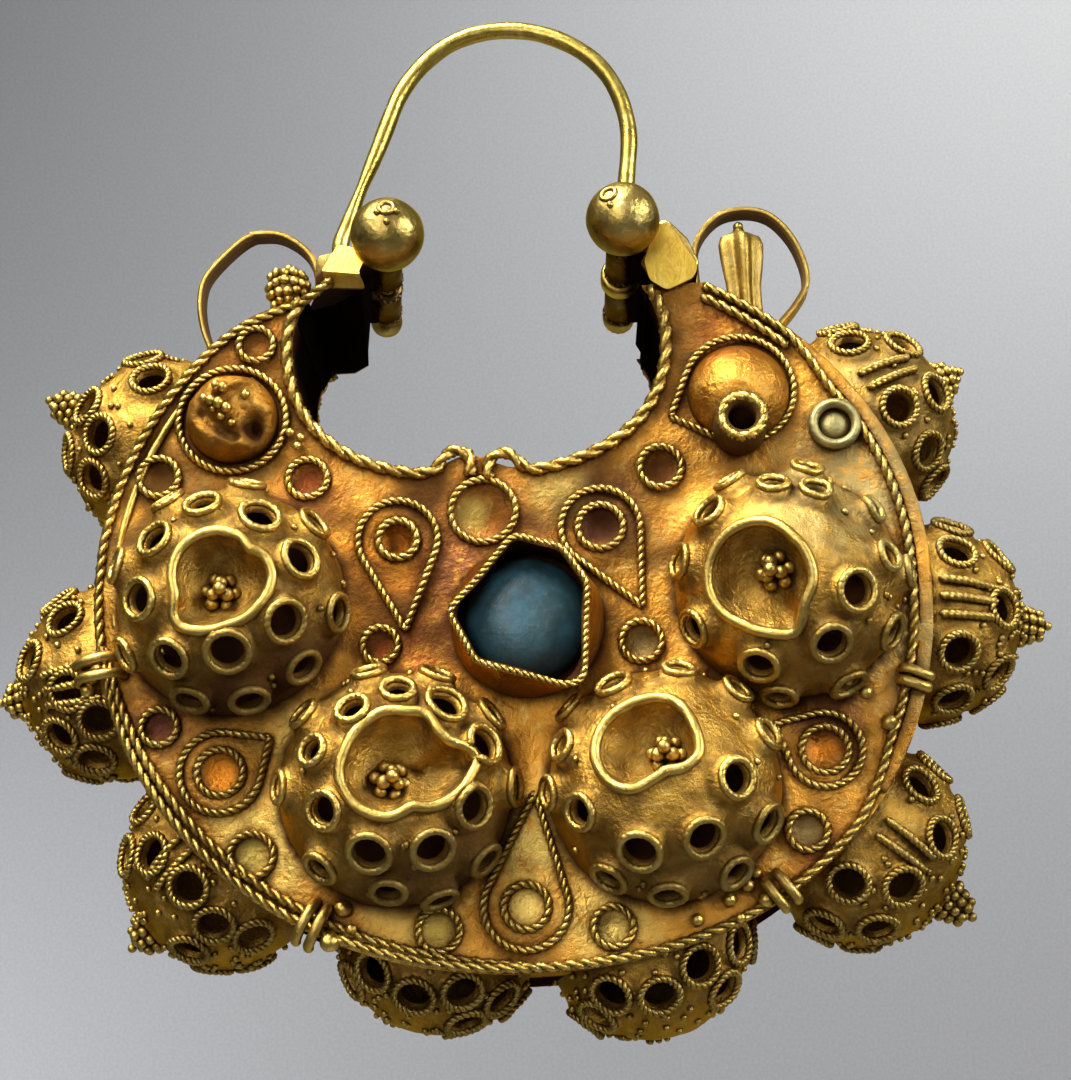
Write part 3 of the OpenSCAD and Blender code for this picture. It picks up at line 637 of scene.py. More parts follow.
# Box: plates, bands and horn ends
sheets = Form()
plate(sheets, -1, front_relief)
plate(sheets, 1, lambda xz: plate_relief(xz, 9))
# The outer band is painted darker, as shade; the throat band more so behind its front edge, and black towards
# its top
wall(sheets, outer_path(BAND_INSET + SHEET / 2, 0.05, 0.8), 0.55)
wall(sheets, throat_path(0.25, 0.05),
     lambda p: (0.6 + 0.4 * np.clip((p[:, 1] + 4.6) / 2, 0, 1)) * (1 + np.clip((p[:, 2] - 8.5) / 3, 0, 1)))
a, b = outer_path(BAND_INSET + 0.05, 0.02)[-1][0], throat_path(0.2, 0.02)[0][0]
# End blocks at the horn tips, painted black as shade
for corners in (((a, RIGHT_TIP), (b, RIGHT_TIP), (b, RIGHT_TIP - 0.5), (a, RIGHT_TIP - 0.5)),
                ((-9.0, 13.66), (-8.6, 13.66), (-9.15, 12.7), (-9.5, 12.9))):
    prism(sheets, corners, -FACE + 0.05, FACE - 0.05, 1.9)
sheets.build("case_sheet", sheet_gold, "sheet_gold", stands_for=("case",), sharp=50)

# Ropes along the edges, the second one at the lower left, and the thicker ones round the throat
HOOKS = (((-2.65, 6.05), (-2.0, 6.2), (-1.6, 5.98), (-1.48, 5.5), (-1.62, 4.95)),
         ((0.2, 5.95), (-0.4, 5.92), (-0.78, 5.6), (-0.95, 5.15), (-0.72, 4.75)))
edges = Form()
# The rope leaves room on the right, between these directions, for a flat strip outside it
strip_from, strip_to = 320, 404
rim_angles = np.linspace(128.5, 419, 270)
away = np.clip((rim_angles - strip_from) / 14, 0, 1) * np.clip((strip_to - rim_angles) / 10, 0, 1)
SHOULDER = [(-7.47, 14.27), (-7.88, 14.04), (-8.39, 13.68), (-9.03, 13.43), (-9.69, 13.25), (-10.5, 12.94)]
front_edge = np.vstack([SHOULDER, outline(rim_angles, 0.27 + 0.62 * away)])
front_edge = resample(at_depth(front_edge, -FACE - 0.14), 0.15, False)[0]
front_edge[:, 1] -= 0.5 * np.clip((front_edge[:, 0] + 8.9) / 0.8, 0, 1) * (front_edge[:, 0] < 0)
rope(edges, smoothed(front_edge, 8), OUT, *RIM_ROPE)
# A second rope inside it along the right horn
rope(edges, at_depth(outline(np.linspace(58.5, 43, 40), 0.8), -FACE - 0.14), OUT, *RIM_ROPE)
rope(edges, at_depth(outer_path(0.27, 0.1), FACE + 0.14), OUT, *RIM_ROPE)
rope(edges, at_depth(throat_path(0.28, 0.1), FACE + 0.15), OUT, *THROAT_ROPE)
path = throat_path(0.28, 0.1)
for hook, part in ((HOOKS[0], path[::-1][path[::-1, 0] < -3.0]), (HOOKS[1], path[path[:, 0] > 0.6])):
    bent = resample(at_depth(np.vstack([part, hook]), -FACE - 0.18), 0.16, False)[0]
    rope(edges, smoothed(bent, 6), OUT, *THROAT_ROPE)
second = np.linspace(186.5, 269.5, 140)
second = outline(second, 0.27 + 0.5 * np.sin(math.pi * (second - 186) / 84) ** 0.5)
rope(edges, at_depth(second, -FACE - 0.15), OUT, *RIM_ROPE)
# Plain wire inside it at the upper left
sweep(edges, at_depth(outline(np.linspace(146, 184, 60), 0.95), -FACE - 0.06), OUT, circle(0.17, 8))
edges.build("edge_ropes", wire_gold, "wire_gold")

# Plain flat edge outside the rope on the right
strips = Form()
path = outline(np.linspace(strip_from + 6, strip_to - 2, 110), 0.36)
sweep(strips, at_depth(path, -FACE - 0.02), OUT, box_profile(0.16, 0.62, 0.05),
      deep=lambda p: np.clip(0.3 + 0.4 * wavy(p, 1.2, 3), 0, 0.6))
strips.build("edge_strips", sheet_gold, "wire_gold")

# Twisted rings and teardrops on the front
twists = Form()
for x, z, r, sunk in RINGS:
    rope_ring(twists, (x, -FACE - 0.17, z), OUT, r + 0.03, *RING_ROPE)
for x, z, r, turn, reach, ring, sunk in TEARDROPS:
    gap = math.degrees(math.acos(r / reach))
    arc = around((x, z), r, np.radians(np.linspace(turn + gap, turn + 360 - gap, 44)))
    point = around((x, z), reach, np.radians([turn]))
    dense = resample(at_depth(np.vstack([point, arc, point]), -FACE - 0.17), 0.1, False)[0]
    rope(twists, dense, OUT, *RING_ROPE)
    if ring:
        rope_ring(twists, (x, -FACE - 0.18, z), OUT, ring, 0.2, 0.72)
rope_ring(twists, (LEFT_HORN[0], -FACE - 0.17, LEFT_HORN[1]), OUT, ROPE_CIRCLE, 0.2, 0.72)
for x, z in ((-8.9, -6.0), (-13.4, -1.4)):
    granule(twists, (x, -FACE - 0.15, z), 0.24)
twists.build("front_rings", wire_gold, "wire_gold")

collar = Form()
collar_at = ring_path((COLLAR[0], -FACE - 0.3, COLLAR[1]), OUT, 0.95, 48)
sweep(collar, collar_at, OUT, box_profile(0.62, 0.42, 0.16), closed=True)
lathe(collar, (COLLAR[0], -FACE - 0.04, COLLAR[1]), OUT,
      [(0, -0.02), (0.74, 0), (0.7, 0.12), (0.45, 0.3), (0.2, 0.36), (0, 0.37)], 32)
collar.build("thick_collar", dusty_gold, "wire_gold")


# Domes
def toward(az, tilt):
    """Directions at an angle round the pole and an angle from it."""
    a, t = np.broadcast_arrays(np.radians(az), np.radians(tilt))
    return np.stack([np.sin(t) * np.cos(a), np.sin(t) * np.sin(a), np.cos(t)], -1)


def angle_to(d, axis):
    """Angles between directions and an axis, or several axes in columns."""
    return np.arccos(np.clip(d @ axis, -1, 1))


def cap_circle(axis, angle, count):
    """Directions on a small circle round an axis."""
    a, b = square_to(axis, 1, (0.31, 0.93, 0.2), (0.93, 0.1, 0.31))
    t = full_turn(count)[:, None]
    return math.cos(angle) * axis + math.sin(angle) * (np.cos(t) * a + np.sin(t) * b)


def underside(way):
    """0 for directions that look up or out, to 1 for those that look down."""
    return np.clip(1.7 * way @ np.array((0.35, 0.0, -0.94)) - 0.25, 0, 1)


def to_flat(d):
    tilt = angle_to(d, UP)
    a = np.arctan2(d[:, 1], d[:, 0])
    return np.column_stack([tilt * np.cos(a), tilt * np.sin(a)])


def from_flat(p):
    tilt, a = np.hypot(p[:, 0], p[:, 1]), np.arctan2(p[:, 1], p[:, 0])
    return np.column_stack([np.sin(tilt) * np.cos(a), np.sin(tilt) * np.sin(a), np.cos(tilt)])


def dome(name, centre, basis, r, holes, limit, dish=None, dents=(), seed=1, rough=0.05, collar=0.38, ribs=(),
         cone=0.0, grime_and_shade=0.45):
    """Openwork dome: sheet with holes, a raised ring round each, and granules on its top or in its dish."""
    centre, basis = np.asarray(centre, float), np.asarray(basis, float)
    limit = math.radians(limit)
    ways, tilts, sizes = np.array(holes, float).T
    axes, sizes = toward(ways, tilts), sizes / r
    # Wires round the holes: how far from the edge, how high, how thick, pitch and twist
    if dish:
        wire_off, wire_up, wire_r, pitch, twist = 0.15, 0.03, 0.17, 0.62, 0.1
    else:
        wire_off, wire_up, wire_r, pitch, twist = 0.13, 0.06, 0.18, 0.52, 0.4
    if dish:
        dish_axis = toward(dish[0], dish[1])
        e1 = unit(np.array((1.0, 0.0, 0.0)) - dish_axis[0] * dish_axis)
        e2 = np.cross(dish_axis, e1)
        table = np.array(dish[4], float)
        phis = np.arange(0, 360, 4.0)
        reach = smoothed(np.radians(np.interp(phis, table[:, 0], table[:, 1], period=360)), 2, True)

    def round_dish(share):
        """Directions at a share of the way from the dish's axis to its rim."""
        phi = np.radians(phis)
        t = (reach * share)[:, None]
        return np.cos(t) * dish_axis + np.sin(t) * (np.cos(phi)[:, None] * e1 + np.sin(phi)[:, None] * e2)

    def surface(flat, sink):
        d = from_flat(flat)
        rise = rough * (wavy(d * r, 1.5, seed) + 0.5 * wavy(d * r, 0.6, seed + 1))
        lip = np.zeros(len(d))
        for axis, size in zip(axes, sizes):
            off = (angle_to(d, axis) - size) * r
            lip = np.maximum(lip, collar * np.exp(-((off - 0.16) / 0.27) ** 2))
        for d_az, d_tilt, wide, deep in dents:
            off = angle_to(d, toward(d_az, d_tilt)) * r
            rise = rise - deep * np.exp(-(off / wide) ** 2)
        points = d * (r + rise + lip - sink)[:, None]
        if dish:
            phi = np.arctan2(d @ e2, d @ e1)
            rim = np.interp(np.degrees(phi), phis, reach, period=360)
            t = angle_to(d, dish_axis) / rim
            level = r * np.cos(rim) - 1.3 * (1 - np.clip(t, 0, 1) ** 3.2) + 0.08 * wavy(d * r, 1.0, seed + 2)
            out = r * np.sin(rim) * t
            bowl = ((level - sink)[:, None] * dish_axis + (out * np.cos(phi))[:, None] * e1
                    + (out * np.sin(phi))[:, None] * e2)
            points = np.where((t < 1)[:, None], bowl, points)
            points = points + d * (0.14 * np.exp(-((t - 1.0) * rim * r / 0.16) ** 2))[:, None]
        return centre + points @ basis

    loose = []
    for tilt in np.arange(0.0, limit - 0.02, 0.3 / r):
        count = max(1, round(2 * math.pi * r * math.sin(tilt) / 0.33))
        loose.append(toward(np.arange(count) * 360 / count + 70 * tilt, math.degrees(tilt)))
    if dish:
        loose += [round_dish(share) for share in (0.84, 0.91, 0.97, 1.0, 1.04, 1.1)]
    for axis, size in zip(axes, sizes):
        loose += [cap_circle(axis, size + off / r, 22) for off in (0.09, 0.2, 0.32, 0.46)]
    loose = np.vstack(loose)
    clear = angle_to(loose, axes.T) > sizes + 0.05 / r
    loose = loose[clear.all(1) & (angle_to(loose, UP) < limit - 0.02)]
    loops = [to_flat(toward(np.arange(80) * 4.5, math.degrees(limit)))]
    loops += [to_flat(cap_circle(axis, size, 22)) for axis, size in zip(axes, sizes)]

    def keep(middle):
        d = from_flat(middle)
        free = (angle_to(d, axes.T) > sizes * 0.995).all(1)
        return free & (np.hypot(middle[:, 0], middle[:, 1]) < limit)

    def shade(flat):
        """Darkening of the outer sheet: painted shade at the foot, heavier below, and inside the dish;
        painted shade and dirt round the raised rings; darker in the sunk dents; random dirt patches; painted
        shade on the side that looks down.
        """
        d = from_flat(flat)
        low = 0.5 - 0.5 * (d @ basis)[:, 2]
        foot = np.clip(angle_to(d, UP) / limit * 3.2 - 2.2, 0, 1)
        off = np.abs((angle_to(d, axes.T) - sizes) * r - (0.56 if dish else 0.5)).min(1)
        dirt_and_shade = np.maximum(foot * (0.25 + 0.6 * low), (0.8 if dish else 0.62) * np.exp(-(off / 0.2) ** 2))
        patches = 0.4 * wavy(d * r, 1.8, seed + 5) + 0.5 * wavy(d * r, 0.65, seed + 6)
        patches += 0.42 if seed == 1 else 0.22
        dirt_and_shade = np.maximum(dirt_and_shade, np.clip(patches, 0, 0.7))
        dirt_and_shade = np.maximum(dirt_and_shade, grime_and_shade * underside(d @ basis))
        for d_az, d_tilt, wide, deep in dents:
            off = angle_to(d, toward(d_az, d_tilt)) * r
            dirt_and_shade = np.maximum(dirt_and_shade, 1.2 * deep * np.exp(-(off / wide / 0.7) ** 2))
        if dish:
            t = angle_to(d, dish_axis) / np.radians(24)
            dirt_and_shade = np.maximum(dirt_and_shade, 0.42 * np.clip((0.95 - t) / 0.2, 0, 1))
        return dirt_and_shade

    form = Form()
    # The inner skin is painted dark, as soot and shade, less so in the domes round the band
    shell(form, loops, to_flat(loose), keep, lambda p: surface(p, 0), lambda p: surface(p, 0.28), shade,
          0.92 if dish else 0.7)
    form.build(name + "_sheet", dome_gold, "openwork_gold", stands_for=(name,), sharp=60)

    wires = Form()
    top = UP @ basis
    for (*_, hole), axis in zip(holes, axes):
        path = surface(to_flat(cap_circle(axis, (hole + wire_off) / r, 24)), -wire_up)
        rope(wires, path, axis @ basis, wire_r, pitch, closed=True, twist=twist)
    for az in ribs:
        arc = toward(az, np.linspace(54, 88, 14))
        rope(wires, centre + arc @ basis * (r + 0.18), top, 0.2, 0.6, twist=0.3)
    if dish:
        sweep(wires, centre + round_dish(1.0) @ basis * (r + 0.12), dish_axis @ basis, circle(0.24, 8),
              closed=True)
        foot = surface(to_flat(toward(dish[2], dish[3])[None]), 0)[0]
        heap(wires, foot, dish_axis @ basis, 0.29, (7, 3, 1))
    if cone:
        for level in np.arange(0.0, cone, 0.4):
            share = level / max(cone, 0.1)
            around = 0.82 - 0.32 * share
            count = round(2 * math.pi * around / 0.45)
            for k in range(count):
                way = ring_path(centre + top * (r + 0.08 + level), top, around, count)[k]
                granule(wires, way, 0.23)
        lathe(wires, centre + top * (r - 0.1), top, [(0, 0), (0.8, 0.02), (0.5, cone), (0, cone + 0.1)], 16)
        heap(wires, centre + top * (r + cone - 0.15), top, 0.22, (3, 1))
    for i in range(20 if dish else 150):
        az, tilt = rng.uniform(0, 360), rng.uniform(34 if dish else 16, 86)
        d = toward(az, tilt)
        if (angle_to(axes, d) > sizes + 0.34 / r).all():
            granule(wires, surface(to_flat(d[None]), -0.05)[0], 0.15)
    # The wires are painted darker on the dome's lower side, as shade
    wires.deep = [0.12 + 0.6 * grime_and_shade * underside(unit(np.vstack(wires.points) - centre))]
    wires.build(name + "_wire", wire_gold, "openwork_gold")


FRONT = np.array(((1, 0, 0), (0, 0, 1), (0, -1, 0)), float)
BACK = np.array(((1, 0, 0), (0, 0, 1), (0, 1, 0)), float)
# Holes of the front domes, from the front: direction round the axis, angle from it, radius
DOME_HOLES = (
    ((143, 38, .56), (100, 41, .52), (56, 39, .62), (14, 43, .62), (-33, 40, .66), (-82, 36, .68),
     (-124, 45, .62), (-170, 39, .6), (-13, 69, .56), (-46, 65, .54), (-78, 66, .56), (-108, 66, .54),
     (36, 66, .5), (78, 68, .5), (120, 66, .5), (-150, 68, .5), (163, 66, .5)),
    ((116, 36, .46), (82, 43, .46), (50, 47, .64), (17, 52, .62), (-22, 45, .64), (-61, 42, .64),
     (-105, 38, .64), (-153, 34, .54), (159, 38, .42), (-42, 72, .52), (-93, 60, .48), (-70, 76, .5),
     (-131, 60, .5), (33, 74, .5), (66, 70, .5), (100, 64, .46), (140, 62, .46), (180, 62, .46),
     (-4, 74, .5)),
    ((117, 56, .5), (80, 58, .42), (161, 58, .42), (-159, 48, .5), (-113, 41, .64), (-65, 36, .62),
     (-10, 32, .58), (-28, 60, .58), (-123, 65, .52), (-93, 65, .52), (-57, 67, .52), (20, 62, .46),
     (48, 66, .44), (-176, 68, .44), (140, 72, .44)),
    ((141, 56, .5), (170, 66, .5), (-154, 66, .54), (-114, 56, .58), (-71, 43, .6), (-30, 31, .64),
     (-34, 66, .56), (-66, 76, .56), (72, 42, .42), (5, 50, .42), (100, 46, .44), (0, 72, .42), (36, 62, .4),
     (78, 66, .42), (118, 70, .44), (-100, 76, .5)),
)
DENTS = ((), ((35, 40, 0.8, 0.12),), ((-52, 52, 1.1, 0.3), (38, 50, 1.3, 0.25)), ((45, 46, 1.7, 0.45),
         (20, 60, 1.1, 0.3), (95, 50, 0.9, 0.2), (62, 46, 0.5, -0.22), (38, 56, 0.45, -0.25),
          (52, 60, 0.45, 0.25), (72, 56, 0.4, 0.22), (28, 48, 0.4, -0.18)))
# Dishes in them: axis, place of the granules, and the rim's angle from the axis all round it
DISHES = (
    (-9, 4, -65, 4, ((-162, 23.5), (-145, 30), (-133, 31), (-115, 27.5), (-86, 23), (-40, 22), (1, 24),
                     (31, 23), (48, 19), (66, 22.5), (102, 25), (137, 26))),
    (25, 13, 5, 4, ((-170, 34.8), (-144, 33.7), (-111, 28.6), (-90, 21), (-64, 24), (-36, 27), (-9, 31),
                    (5, 35), (15, 31), (26, 21), (50, 20), (71, 25.8), (92, 24.6), (115, 28.3), (140, 29.5),
                    (165, 31.5))),
    (125, 17, 100, 13, ((-176, 25.8), (-152, 26), (-129, 25.7), (-112, 24), (-88, 19), (-63, 17), (-39, 22.4),
                        (-20, 25.4), (17, 23), (60, 25), (91, 22.7), (117, 22), (145, 23.6))),
    (-159, 21, -168, 16, ((-167, 27.2), (-142, 25.4), (-116, 24), (-85, 27), (-64, 32), (-48, 28), (-34, 24),
                          (-6, 25.6), (20, 25), (49, 25), (80, 28), (119, 29), (143, 28.6))),
)
PLAIN_DISH = (0, 0, 0, 0, ((0, 28), (40, 24), (95, 27), (150, 25), (200, 28), (255, 24), (310, 27)))
PLAIN_HOLES = tuple((20 + 40 * i, 45, 0.56) for i in range(9)) + tuple((36 * i, 70, 0.5) for i in range(10))
# How strongly the lower side of each front dome and its wires are painted in shade
FRONT_UNDERSIDE_SHADE = (0.95, 0.88, 0.75, 0.6)
for i, (x, z) in enumerate(BIG_DOMES):
    dome("front_dome_%d" % (i + 1), (x, -FACE - 0.03, z), FRONT, BIG_R - 0.1, DOME_HOLES[i], 90, DISHES[i],
         DENTS[i], seed=i + 1, rough=0.05 if i < 2 else 0.09, grime_and_shade=FRONT_UNDERSIDE_SHADE[i])
    dome("back_dome_%d" % (i + 1), (x, FACE + 0.03, z), BACK, BIG_R - 0.1, PLAIN_HOLES, 90, PLAIN_DISH,
         seed=i + 11)

# Holes of the domes round the band, on their front halves; the back halves mirror them
BELT_HOLES = (
    ((117, 76), (72, 64), (45, 70), (88, 42), (140, 60), (38, 38)),
    ((123, 72), (108, 44), (77, 70), (58, 84), (48, 58), (32, 76), (150, 66)),
    ((115, 66), (84, 70), (57, 66), (36, 78), (46, 42), (140, 52), (148, 80)),
    ((122, 58), (62, 58), (92, 48), (30, 60), (150, 50), (40, 38)),
    ((127, 66), (100, 54), (70, 62), (48, 42), (150, 58), (36, 66)),
    ((50, 82), (66, 56), (122, 86), (108, 60), (156, 84), (143, 58), (16, 80), (25, 50)),
    ((58, 77), (36, 46), (90, 47), (119, 77), (142, 48), (151, 77), (28, 76)),
    ((52, 80), (104, 78), (108, 48), (137, 72), (165, 72), (60, 48), (26, 76)),
)
BELT_RIBS = ((), (70, 80, 90), (98, 108), (), (), (82, 92), (78, 88, 98), (76, 86))
CONES = (1.5, 0.7, 0.6, 0, 0, 0.9, 0.9, 0.8)
belt_hole_r = 0.68
# Cosines of the least angles between two holes, and between a hole and the place seen through another
apart, clear = math.cos(1.5 / BELT_R), math.cos(2.7 * belt_hole_r / BELT_R)
# Seen from this place in front, no hole stands straight behind another
FRONT_PLACE = np.array((1.9, -95.0, -22.0))
for i, (angle, seat) in enumerate(BELT_DOMES):
    a = math.radians(angle)
    reach = math.hypot(*outline_point(angle)) - seat
    axis = np.array((math.cos(a), 0, math.sin(a)))
    basis = np.array(((-math.sin(a), 0, math.cos(a)), OUT, axis))
    sight = unit(axis * reach - FRONT_PLACE)
    holes, found = [], np.empty((0, 3))
    tries = [[(az, tilt)] for az, tilt in BELT_HOLES[i]]
    tries += [[(-az + shift, tilt) for shift in (6, 20, -12, 32, -26)] for az, tilt in BELT_HOLES[i]]
    for choice in tries:
        for az, tilt in choice:
            d = toward(az, tilt) @ basis
            through = d - 2 * (d @ sight) * sight
            if (found @ d < apart).all() and (found @ through < clear).all():
                holes.append((az, tilt, belt_hole_r))
                found = np.vstack([found, d])
                break
    limit = math.degrees(math.acos((seat - 1.05) / BELT_R))
    dome("belt_dome_%d" % (i + 1), axis * reach, basis, BELT_R - 0.1, holes, limit, seed=i + 21, rough=0.09,
         collar=0.2, ribs=BELT_RIBS[i], cone=CONES[i])


# Plain domes on the horns: the left one is crushed, the right one broad and low
FOLDS = (((-12.55, 8.95), (-11.0, 9.65), 0.17, 0.42), ((-13.2, 8.0), (-11.9, 6.9), 0.3, -0.35),
         ((-13.1, 8.75), (-12.0, 7.95), 0.25, 0.25), ((-12.6, 6.9), (-11.2, 6.5), 0.2, 0.15))
RING_COLLAR = (10.38, 6.38)


def to_line(xz, a, b):
    """Distance from a stretch of straight line."""
    a, b = np.array(a), np.array(b)
    t = np.clip(((xz - a) @ (b - a)) / ((b - a) @ (b - a)), 0, 1)
    return np.linalg.norm(xz - a - t[:, None] * (b - a), axis=1)


def left_horn_height(xz):
    base = 0.92 * np.sqrt(np.clip(HORN_R ** 2 - distance(xz, LEFT_HORN) ** 2, 0, None))
    h = 0.2 * wavy(xz, 0.8, 5) + 0.08 * wavy(xz, 0.33, 7)
    h -= 0.5 * np.exp(-(distance(xz, (-11.9, 7.9)) / 1.1) ** 2)
    h -= 0.85 * np.exp(-((xz[:, 0] + 11.02) / 0.4) ** 2 - ((xz[:, 1] - 7.4) / 0.5) ** 2)
    for a, b, wide, rise in FOLDS:
        h += rise * np.exp(-(to_line(xz, a, b) / wide) ** 2)
    return np.maximum(base + h * np.clip(base / 0.6, 0, 1), 0)


def right_horn_height(xz):
    base = 1.75 * np.clip(1 - (distance(xz, RIGHT_HORN) / 2.3) ** 2, 0, 1) ** 0.75
    return base + (0.06 * wavy(xz, 1.1, 4) + 0.03 * wavy(xz, 0.5, 2)) * np.clip(base, 0, 1)


def mound(form, at, r, height, deep):
    """Dome given by its height over a round foot on the front plate."""
    count, rings = 64, 26
    a = full_turn(count)
    t = np.sin(np.linspace(0, math.pi / 2, rings + 1))[1:, None]
    xz = np.column_stack([np.r_[0, (t * r * np.cos(a)).ravel()], np.r_[0, (t * r * np.sin(a)).ravel()]]) + at
    index = 1 + np.arange(rings * count).reshape(rings, count)
    after = np.roll(index, -1, 1)
    faces = [[0, i, j] for i, j in zip(index[0], after[0])]
    faces += np.stack([index[:-1], index[1:], after[1:], after[:-1]], -1).reshape(-1, 4).tolist()
    faces.append(index[-1].tolist())
    form.add(at_depth(xz, -FACE - (0.03 + height(xz))), faces, deep)


horns = Form()
# Left dome: painted shade in its pit, darker below it and on its left, over an even darkening that varies at
# random
mound(horns, LEFT_HORN, HORN_R, left_horn_height,
      lambda p: 0.9 * np.exp(-((p[:, 0] + 11.02) / 0.4) ** 2 - ((p[:, 2] - 7.3) / 0.55) ** 2)
      + 0.4 + 0.2 * wavy(p, 0.6, 3) + 0.4 * np.exp(-(distance(p[:, [0, 2]], (-12.2, 7.0)) / 1.0) ** 2)
      + 0.3 * np.exp(-(distance(p[:, [0, 2]], (-13.6, 8.4)) / 0.7) ** 2))
# Right dome: painted shade round the ring collar and a painted shadow below it, over darkening that varies at
# random and grows to the right
mound(horns, RIGHT_HORN, 2.3, right_horn_height,
      lambda p: np.clip(1.9 - 1.3 * distance(p[:, [0, 2]], (RING_COLLAR[0], RING_COLLAR[1] - 0.25)), 0, 1)
      + 0.85 * np.exp(-((p[:, 0] - 10.6) / 1.7) ** 2 - ((p[:, 2] - 5.9) / 0.6) ** 2)
      + np.clip(0.22 + 0.08 * (p[:, 0] - 9.5) + 0.3 * wavy(p, 0.9, 8), 0, 0.5))
horns.build("front_horn_domes", sheet_gold, "sheet_gold",
            stands_for=("front_horn_dome_left", "front_horn_dome_right"))
knobs = Form()
for x, z, r in ((-13.1, 8.66, 0.2), (-12.78, 8.5, 0.22), (-12.42, 8.32, 0.25), (-12.08, 8.1, 0.23),
                (-12.36, 7.8, 0.2), (-11.9, 7.5, 0.18), (-12.7, 8.15, 0.18), (-12.6, 9.3, 0.2),
                (-12.2, 9.02, 0.24), (-11.3, 8.8, 0.22)):
    granule(knobs, (x, -FACE - left_horn_height(np.array([[x, z]]))[0] - 0.1, z), r)
for x, z in ((-9.05, 7.05), (-9.2, 6.65), (-9.5, 7.3)):
    granule(knobs, (x, -FACE - 0.35, z), 0.2)
knobs.build("left_horn_granules", wire_gold, "sheet_gold")

rings = Form()
tube_at = (RING_COLLAR[0], -FACE - 1.25, RING_COLLAR[1])
# The collar's tube is painted dark, as shade
sweep(rings, ring_path(tube_at, OUT, 0.9, 44), OUT, box_profile(2.2, 0.56, 0.14), closed=True, deep=0.93)
front_lip = ring_path((RING_COLLAR[0], -FACE - 2.22, RING_COLLAR[1]), OUT, 0.93, 44)
front_lip += 0.05 * wavy(front_lip, 0.5, 3)[:, None] * unit(front_lip - front_lip.mean(0))
rope(rings, front_lip, OUT, 0.25, 1.0, closed=True, twist=0.25)
rings.build("ring_collar_detail", wire_gold, "sheet_gold", stands_for=("ring_collar",))


def plain(form, at, r):
    """Half ball on the back plate."""
    profile = [(r * math.cos(t), r * math.sin(t)) for t in np.linspace(0, math.pi / 2, 20)]
    lathe(form, (at[0], FACE + 0.03, at[1]), -OUT, [(0, -0.02)] + profile[:-1] + [(0, r)], 56)


bosses = Form()
BACK_HORNS = ((-12.1, 8.5), (10.9, 8.1))
for at, r in ((BACK_HORNS[0], 2.8), (BACK_HORNS[1], 2.8), (BEZEL, 3.35)):
    plain(bosses, at, r)
bosses.build("back_bosses", sheet_gold, "sheet_gold", bend=lambda co: co + 0.06 * wavy(co, 1.4, 6)[:, None],
             stands_for=("back_horn_dome_left", "back_horn_dome_right", "back_boss"))
back_twists = Form()
for at, r in ((BACK_HORNS[0], 2.95), (BACK_HORNS[1], 2.95), (BEZEL, 3.5)):
    rope_ring(back_twists, (at[0], FACE + 0.15, at[1]), -OUT, r, 0.17, 0.8)
back_twists.build("back_rings", wire_gold, "wire_gold")

# Bezel with its bent rim, and the stone
RIM_CORNERS = np.array(((0.2, 1.5), (2.3, 0.9), (3.4, -0.8), (3.0, -5.1), (2.3, -5.4), (-1.7, -4.1),
                        (-2.8, -1.8)))
bezel_count, bezel_r, bezel_h = 120, 3.35, 2.95


def rim_reach(angles):
    """Distance of the bent rim from the bezel's middle in each direction, its corners eased."""
    found = []
    for a in angles:
        d = np.array((math.cos(a), math.sin(a)))
        best = 9.0
        for p, q in zip(RIM_CORNERS, np.roll(RIM_CORNERS, -1, 0)):
            p, q = p - BEZEL, q - BEZEL
            e = q - p
            cross = d[0] * e[1] - d[1] * e[0]
            if abs(cross) > 1e-9:
                t = (p[0] * e[1] - p[1] * e[0]) / cross
                s = (p[0] * d[1] - p[1] * d[0]) / cross
                if t > 0 and -1e-9 <= s <= 1 + 1e-9:
                    best = min(best, t)
        found.append(best)
    return smoothed(np.array(found), 3, True)


angles = full_turn(bezel_count)
rim = rim_reach(angles)
bezel = Form()
levels = []
for inset, heights in ((0.0, np.linspace(0.03, bezel_h, 12)), (0.33, np.linspace(bezel_h, 0.03, 12))):
    for h in heights:
        share = (h / bezel_h) ** 1.6
        r = bezel_r * (1 - share) + rim * share - inset
        r = r + (0.05 * np.sin(5 * angles + 1) + 0.04 * np.sin(9 * angles)) * math.sin(math.pi * h / 3)
        levels.append(at_depth(around(BEZEL, r, angles), -FACE - h))
index = np.arange(len(levels) * bezel_count).reshape(-1, bezel_count)
rows = np.vstack([index, index[:1]])
low, high = rows[:-1], rows[1:]
# Painted shade: the wall darkens towards its foot, and its inner side is painted dark
bezel_shade = np.repeat(np.concatenate([0.8 - 0.55 * np.linspace(0, 1, 12) ** 1.5, np.ones(12)]), bezel_count)
bezel.add(levels, np.stack([low, np.roll(low, -1, 1), np.roll(high, -1, 1), high], -1).reshape(-1, 4), bezel_shade)
bezel.build("bezel_wall", sheet_gold, "sheet_gold", stands_for=("bezel",), sharp=50)
bezel_rim = Form()
height = bezel_h + 0.06 * np.sin(4 * angles) + 0.03 * np.sin(9 * angles)
rope(bezel_rim, at_depth(around(BEZEL, rim - 0.14, angles), -FACE - height), OUT, 0.17, 0.62, closed=True)
bezel_rim.build("bezel_rope", wire_gold, "sheet_gold")

